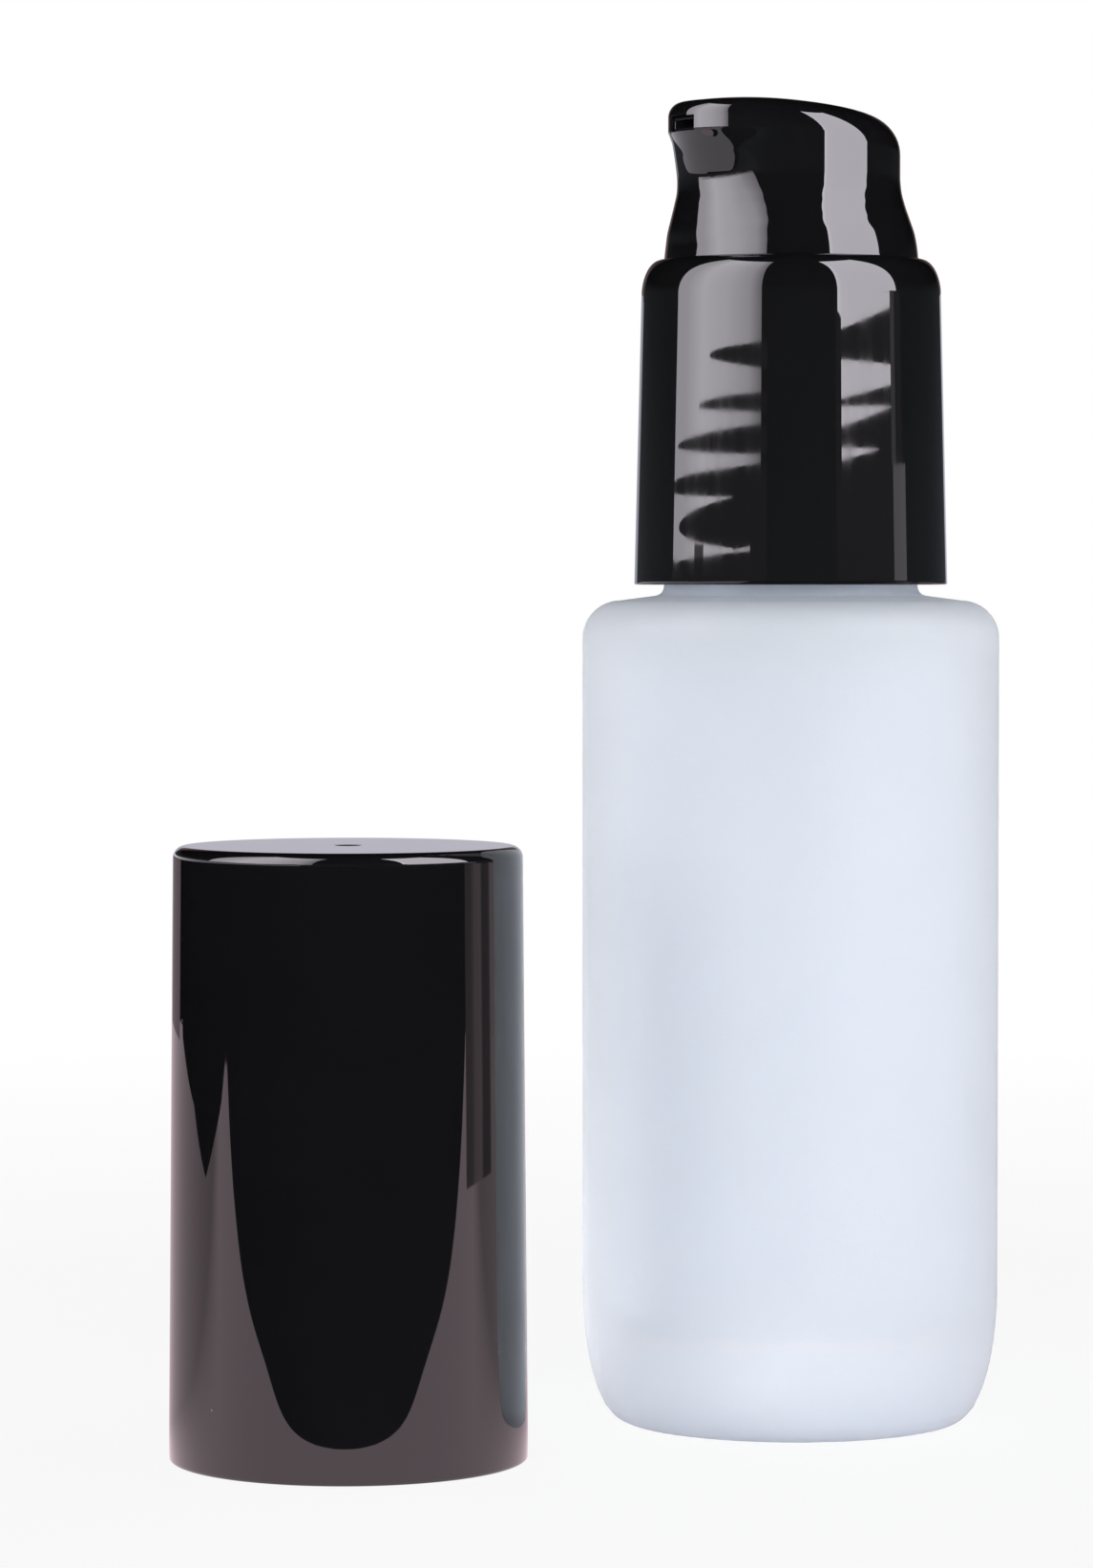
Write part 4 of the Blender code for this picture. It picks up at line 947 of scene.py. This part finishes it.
class Finish(Tree):
    """One procedural material around a Principled shader, in the object's own coordinates."""

    def __init__(self, name, **values):
        """Makes the material, with these values on its shader."""
        self.material = bpy.data.materials.new(name)
        super().__init__(self.material)
        self.shader = self.nodes["Principled BSDF"]
        self.place = self.node("TexCoord").outputs["Object"]
        self.put(**values)

    def put(self, **values):
        """Feeds the shader's sockets of these names, and gives back the material."""
        self.feed_named(self.shader, values)
        return self.material

    def stretched(self, scale):
        """The object's coordinates, scaled along each axis."""
        return self.node("Mapping", self.place, Scale=scale).outputs["Vector"]

    def noise(self, scale, detail=3.0, place=None):
        """Noise of this many features a metre."""
        return self.node("TexNoise", place or self.place, Scale=scale, Detail=detail).outputs["Fac"]

    def cells(self, scale):
        """The outputs of a pattern with this many cells a metre."""
        return self.node("TexVoronoi", self.place, Scale=scale).outputs

    def mixed(self, factor, first, second):
        """Colour that goes from the first to the second with the factor."""
        made = self.nodes.new("ShaderNodeMix")
        made.data_type = "RGBA"
        self.feed(made.inputs["Factor"], factor)
        colours = [socket for socket in made.inputs if socket.type == "RGBA"]
        for socket, colour in zip(colours, (first, second)):
            self.feed(socket, colour)
        return [socket for socket in made.outputs if socket.type == "RGBA"][0]

    def bump(self, height, distance, **below):
        """A bump of this height in metres, over the bump given as Normal if there is one."""
        made = self.node("Bump", Strength=1.0, Distance=distance, Height=height, **below)
        return made.outputs["Normal"]

    def specks(self, per_metre, size, share):
        """1 in small scattered specks and 0 between them."""
        cells = self.cells(per_metre)
        near = self.math("LESS_THAN", cells["Distance"], size)
        random = self.node("SeparateColor", cells["Color"]).outputs["Red"]
        return self.math("MULTIPLY", near, self.math("LESS_THAN", random, share))


def frosted_glass():
    """Acid-frosted outer surface of pale blue-white glass, with a fine grain."""
    look = Finish("frosted_glass", IOR=1.47, Transmission_Weight=0.40, Subsurface_Weight=1.0)
    return look.put(
        Subsurface_Radius=(1.0, 1.0, 1.0),
        Subsurface_Scale=FROST_SPREAD,
        Base_Color=look.mixed(look.noise(90.0, 2.0), *FROST_COLOURS),
        Roughness=look.ranged(look.noise(400.0), 0.60, 0.70),
        Normal=look.bump(look.noise(9000.0, 2.0), 0.010 * MM),
    )


def smooth_glass():
    """The bottle's inner surface: clear glass with the slight waves of blown glass."""
    look = Finish("smooth_glass", IOR=1.47, Transmission_Weight=1.0)
    return look.put(
        Base_Color=look.mixed(look.noise(60.0), *CLEAR_COLOURS),
        Roughness=look.ranged(look.noise(300.0), 0.10, 0.18),
        Normal=look.bump(look.noise(160.0, 2.0), 0.03 * MM),
    )


def gloss_black():
    """Glossy black moulded plastic with slight sink waves, fine scuffs and a few specks of dust."""
    look = Finish("gloss_black", IOR=1.54)
    tone = look.mixed(look.noise(120.0), *BLACK_COLOURS)
    scuffs = look.noise(900.0, 4.0, look.stretched((1.0, 1.0, 0.12)))
    waves = look.bump(look.noise(70.0, 1.0), BLACK_WAVE)
    return look.put(
        Base_Color=look.mixed(look.specks(420.0, 0.035, 0.05), tone, DUST_COLOUR),
        Roughness=look.ranged(scuffs, 0.012, 0.032, 0.4, 0.75),
        Normal=look.bump(look.noise(2600.0), BLACK_GRAIN, Normal=waves),
    )


def natural_plastic(name, colour, roughness, transmission):
    """Uncoloured moulded plastic, slightly see-through and faintly cloudy."""
    look = Finish(name, IOR=1.5, Transmission_Weight=transmission)
    darker = tuple(CLOUD_SHARE * share for share in colour)
    return look.put(
        Base_Color=look.mixed(look.noise(260.0), darker, colour),
        Roughness=look.ranged(look.noise(700.0), roughness - 0.05, roughness + 0.07),
        Normal=look.bump(look.noise(1500.0), 0.004 * MM),
    )


def white_foam():
    """Closed-cell foam with fine open pits on its cut faces, and painted shade that darkens the middle of
    each pit.
    """
    look = Finish("white_foam", IOR=1.45)
    pits = look.cells(3200.0)["Distance"]
    return look.put(
        # Painted shade: each pit is coloured darker towards its middle, where the bump sinks it
        Base_Color=look.mixed(pits, *FOAM_FACE_AND_PIT_SHADE_COLOURS),
        Roughness=look.ranged(look.noise(1200.0), 0.7, 0.85),
        Normal=look.bump(pits, 0.05 * MM),
    )


def bright_steel():
    """Drawn steel with fine lines and a slightly uneven polish."""
    look = Finish("bright_steel", Metallic=1.0)
    lines = look.noise(2500.0, 4.0, look.stretched((1.0, 1.0, 0.2)))
    return look.put(
        Base_Color=look.mixed(look.noise(500.0), *STEEL_COLOURS),
        Roughness=look.ranged(lines, 0.16, 0.30),
        Normal=look.bump(lines, 0.002 * MM),
    )


# The set


def place_pieces(black, steel):
    """Builds the pieces and puts each on its body, in place of the CAD's node."""
    pieces = [
        (make_glass(), "bottle", "glass_bottle", "frosted_glass", None),
        (make_collar(), "closure", "collar_sleeve", "gloss_black", black),
        (make_actuator(), "head", "actuator_shell", "gloss_black", black),
        (make_nozzle(), "head", "nozzle_insert", "gloss_black", black),
        (make_overcap(), "cap", "overcap", "gloss_black", black),
        (make_spring(), "pump_body", "return_spring", "bright_steel", steel),
    ]
    for piece, body, node, slot, material in pieces:
        if material is not None:
            piece.data.materials.clear()
            piece.data.materials.append(material)
        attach(piece, body)
        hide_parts(node)
    spring = pieces[-1][0]
    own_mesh(spring)


def finish_nodes(black, steel):
    """Gives every node that is left showing its finish."""
    natural = natural_plastic("natural_plastic", NATURAL_COLOUR, 0.36, 0.35)
    soft = natural_plastic("soft_plastic", SOFT_COLOUR, 0.48, 0.15)
    finishes = dict.fromkeys(NATURAL_NODES, natural)
    finishes.update(neck_gasket=white_foam(), piston=soft, inlet_ball=steel, actuator_core=black)
    for name, material in finishes.items():
        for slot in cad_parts[name].material_slots:
            slot.material = material


# Stage, light and camera


def rectangle(low, high):
    """The corners of a rectangle, from its lowest and highest corner."""
    return low, (high[0], low[1]), high, (low[0], high[1])


def square(half_side):
    """The corners of a square around the origin."""
    return rectangle((-half_side, -half_side), (half_side, half_side))


def make_world():
    """White wherever it is seen, and an even soft light for everything else."""
    world = bpy.data.worlds.new("white_studio")
    bpy.context.scene.world = world
    tree = Tree(world)
    place = tree.node("TexCoord").outputs["Generated"]
    height = tree.node("SeparateXYZ", place).outputs["Z"]
    angle = math.radians(WORLD_DIM_AZIMUTH)
    facing = tree.node("VectorMath", place, (math.sin(angle), -math.cos(angle), 0.0))
    facing.operation = "DOT_PRODUCT"
    cosine = facing.outputs["Value"]
    dimmed = tree.node("MapRange", cosine, *WORLD_DIM_COSINES, *WORLD_DIM_SHARES)
    dimmed.interpolation_type = "SMOOTHSTEP"
    fall = tree.ranged(height, *WORLD_GLOW, *WORLD_FALL)
    soft = tree.nodes["Background"]
    strength = tree.math("MULTIPLY", fall, dimmed.outputs["Result"])
    tree.feed_named(soft, {"Color": WORLD_TINT, "Strength": strength})
    white = tree.node("Background", WHITE, 1.0)
    mix = tree.node("MixShader", tree.seen_directly(), soft.outputs[0], white.outputs[0])
    tree.show(mix, "World Output")


def make_floor():
    """A plain pale floor that reads as white and keeps the set's soft shadow."""
    vertices = [(*corner, -FLOOR_DROP) for corner in square(FLOOR_REACH)]
    floor = object_from("floor", vertices, [(0, 1, 2, 3)])
    look = Finish("pale_floor", Base_Color=FLOOR_PAINT, Roughness=1.0, Specular_IOR_Level=0.0)
    distance = look.node("VectorMath", look.place)
    distance.operation = "LENGTH"
    own = look.ranged(distance.outputs["Value"], *FLOOR_OWN_SHARES, *FLOOR_DISTANCES)
    share = look.math("MULTIPLY", look.seen_directly(), own)
    glow = look.node("Emission", WHITE, 1.0)
    mix = look.node("MixShader", share, look.shader.outputs[0], glow.outputs[0])
    look.show(mix, "Material Output")
    floor.data.materials.append(look.material)


def glow_material(name, strength, tint):
    """Plain light of this strength, or a black flag at 0.

    A pair of strengths is the glow at the front and at the back of a level card, and none
    stands for the glow written at the card's corners.
    """
    material = bpy.data.materials.new(name)
    tree = Tree(material)
    tree.nodes.remove(tree.nodes["Principled BSDF"])
    if isinstance(strength, tuple):
        place = tree.node("SeparateXYZ", tree.node("TexCoord").outputs["Object"])
        strength = tree.ranged(place.outputs["Y"], *strength, *TABLE_FALL)
    elif strength is None:
        corner = tree.node("Attribute")
        corner.attribute_name = "glow"
        strength = corner.outputs["Fac"]
    tree.show(tree.node("Emission", tint, strength), "Material Output")
    return material


def reflector(name, vertices, faces, strength, tint=SOFTBOX_TINT):
    """A card that only gloss sees: a softbox, a pale surface or a dark flag."""
    card = object_from(name, vertices, faces)
    card.data.materials.append(glow_material(name, strength, tint))
    for kind in ("camera", "diffuse", "transmission", "volume_scatter", "shadow"):
        setattr(card, f"visible_{kind}", False)
    return card


def azimuth_point(azimuth, radius, height):
    """A point at this azimuth and distance from the bottle's axis."""
    angle = math.radians(azimuth)
    x = BOTTLE_AXIS[0] + radius * math.sin(angle)
    y = BOTTLE_AXIS[1] - radius * math.cos(angle)
    return (x, y, height)


def glow_at(azimuth, knots):
    """The glow at this azimuth, on straight lines between the knots."""
    for (start, low), (end, high) in zip(knots, knots[1:]):
        if azimuth <= end:
            return low + (high - low) * (azimuth - start) / (end - start)
    return knots[-1][1]


def curved_card(name, knots, heights, radius, tint=SOFTBOX_TINT, top_share=1.0):
    """An upright card that curves round the set, with the knots' azimuths and glows.

    The top share is the share of that glow which is left at the card's upper edge.
    """
    start, end = knots[0][0], knots[-1][0]
    vertices, glows = [], []
    for i in range(CARD_STEPS + 1):
        azimuth = start + (end - start) * i / CARD_STEPS
        vertices += [azimuth_point(azimuth, radius, height) for height in heights]
        glows += [glow_at(azimuth, knots), glow_at(azimuth, knots) * top_share]
    card = reflector(name, vertices, strip_faces(CARD_STEPS), None, tint)
    card.data.attributes.new("glow", "FLOAT", "POINT").data.foreach_set("value", glows)
    return card


def mirrored_height(azimuth, height):
    """Height on the flags' ring of what the collar's wall mirrors to the camera at this height."""
    facing = math.cos(math.radians(azimuth) / 2)
    rise = (height - CAMERA_HEIGHT) / (-CAMERA_FROM_BOTTLE[1] - COLLAR_RADIUS)
    lean = COLLAR_DRAFT / (COLLAR_TOP - COLLAR_CORNER_HEIGHT - COLLAR_BOTTOM)
    return height + (FLAG_RADIUS - COLLAR_RADIUS) * (rise + 2.0 * lean * facing)


def make_flags():
    """Cards in front of the softboxes, each between two azimuths."""
    for number, (glow, power, start, end, start_heights, end_heights) in enumerate(FLAGS):
        vertices = []
        radius = FLAG_RADIUS - FLAG_SPACING * number
        for i in range(CARD_STEPS + 1):
            share = i / CARD_STEPS
            azimuth = start + (end - start) * share
            for low, high in zip(start_heights, end_heights):
                height = low + (high - low) * share**power
                vertices.append(azimuth_point(azimuth, radius, mirrored_height(azimuth, height * MM)))
        reflector(f"flag_{number}", vertices, strip_faces(CARD_STEPS), glow)


def flat_card(name, corners, height, strength):
    """A level card with these corners."""
    vertices = [(*corner, height) for corner in corners]
    return reflector(name, vertices, [tuple(range(len(corners)))], strength)


def table_edge(x):
    """How far forward the table reaches at this place across: less in front of the overcap."""
    near_cap = math.exp(-(((x - OVERCAP_AXIS[0]) / TABLE_CURVE) ** 2))
    return OVERCAP_LOW.y - TABLE_FRONT + (TABLE_FRONT - TABLE_FRONT_AT_CAP) * near_cap


def edged_card(name, left, right, back, strength):
    """A level card between the table's curved front edge and a straight line across."""
    vertices = []
    for i in range(EDGE_CARD_STEPS + 1):
        x = left + (right - left) * i / EDGE_CARD_STEPS
        vertices += [(x, table_edge(x), TABLE_HEIGHT), (x, back, TABLE_HEIGHT)]
    return reflector(name, vertices, strip_faces(EDGE_CARD_STEPS), strength, TABLE_TINT)


def make_reflections():
    """What the gloss black parts mirror."""
    far = FLOOR_REACH
    heights = (SOFTBOX_BOTTOM, SOFTBOX_TOP)
    low = (0.0, LOW_CARD_TOP)
    curved_card("dark_wall", DARK_WALL, (0.0, WALL_HEIGHT), WALL_RADIUS)
    curved_card("dark_back", DARK_BACK, (SWEEP_TOP, WALL_HEIGHT), WALL_RADIUS)
    curved_card("dim_wall", DIM_WALL, DIM_WALL_HEIGHTS, DIM_WALL_RADIUS, DIM_WALL_TINT, 0.0)
    curved_card("sweep_back", SWEEP, (0.0, SWEEP_TOP), WALL_RADIUS, SWEEP_TINT)
    fade_heights = (SWEEP_TOP, SWEEP_FADE_TOP)
    curved_card("sweep_fade", SWEEP_FADE, fade_heights, SWEEP_FADE_RADIUS, SWEEP_FADE_TINT, 0.0)
    curved_card("softbox_left", LEFT_SOFTBOX, heights, SOFTBOX_RADIUS)
    curved_card("softbox_right", RIGHT_SOFTBOX, heights, SOFTBOX_RADIUS)
    curved_card("low_card_right", LOW_CARD_RIGHT, low, SOFTBOX_RADIUS, TABLE_TINT)
    curved_card("low_card_near", LOW_CARD_NEAR, low, LOW_CARD_NEAR_RADIUS, TABLE_TINT)
    curved_card("low_card_left", LOW_CARD_LEFT, low, SOFTBOX_RADIUS, TABLE_TINT)
    make_flags()
    for number, corners in enumerate(BOUNCE_CARDS):
        flat_card(f"bounce_card_{number}", corners, BOUNCE_HEIGHT, BOUNCE_GLOW)
    edged_card("table_glow", -TABLE_SIDE, far, far, TABLE_GLOW)
    edged_card("dark_room_front", -TABLE_SIDE, far, -far, 0.0)
    flat_card("dark_room_left", rectangle((-far, -far), (-TABLE_SIDE, far)), TABLE_HEIGHT, 0.0)
    flat_card("dark_corner", DARK_CORNER, DARK_CORNER_HEIGHT, 0.0)
    flat_card("dark_ceiling", square(CEILING_REACH), WALL_HEIGHT, 0.0)


def area_lamp(name, place, size, power, tint=WHITE):
    """A soft lamp at this azimuth, distance and height, which gloss doesn't mirror."""
    data = bpy.data.lights.new(name, "AREA")
    data.shape = "SQUARE"
    data.size = size
    data.energy = power
    data.color = tint
    lamp = linked(name, data)
    lamp.location = azimuth_point(*place)
    lamp.visible_glossy = False
    return lamp


def make_light():
    """Low soft lamps that light the glass evenly past the overcap."""
    for name, (*place, power, tint) in LAMPS.items():
        lamp = area_lamp(name, place, LAMP_SIZE, power, tint)
        aim = Vector((0.0, 0.0, ACTUATOR_TOP / 2)) - lamp.location
        lamp.rotation_euler = aim.to_track_quat("-Z", "Y").to_euler()
    for name, (*place, power, size) in FLOOR_LAMPS.items():
        lamp = area_lamp(name, place, size, power)
        lamp.visible_camera = False
        lamp.rotation_euler = (math.pi, 0.0, 0.0)


def make_camera():
    """The camera at the photograph's viewing angle."""
    data = bpy.data.cameras.new("photo_camera")
    data.sensor_width = SENSOR_MM
    data.lens = FOCAL_PIXELS * SENSOR_MM / IMAGE_HEIGHT_PIXELS
    camera = linked("photo_camera", data)
    camera.location = (*(BOTTLE_AXIS + Vector(CAMERA_FROM_BOTTLE)), CAMERA_HEIGHT)
    camera.rotation_euler = (math.radians(90.0 - CAMERA_PITCH_DEGREES), 0.0, 0.0)
    bpy.context.scene.camera = camera


def main():
    """Builds the whole set."""
    black, steel = gloss_black(), bright_steel()
    place_pieces(black, steel)
    finish_nodes(black, steel)
    make_world()
    make_floor()
    make_reflections()
    make_light()
    make_camera()
    bpy.context.scene.view_settings.view_transform = "Standard"
    bpy.context.view_layer.update()


main()
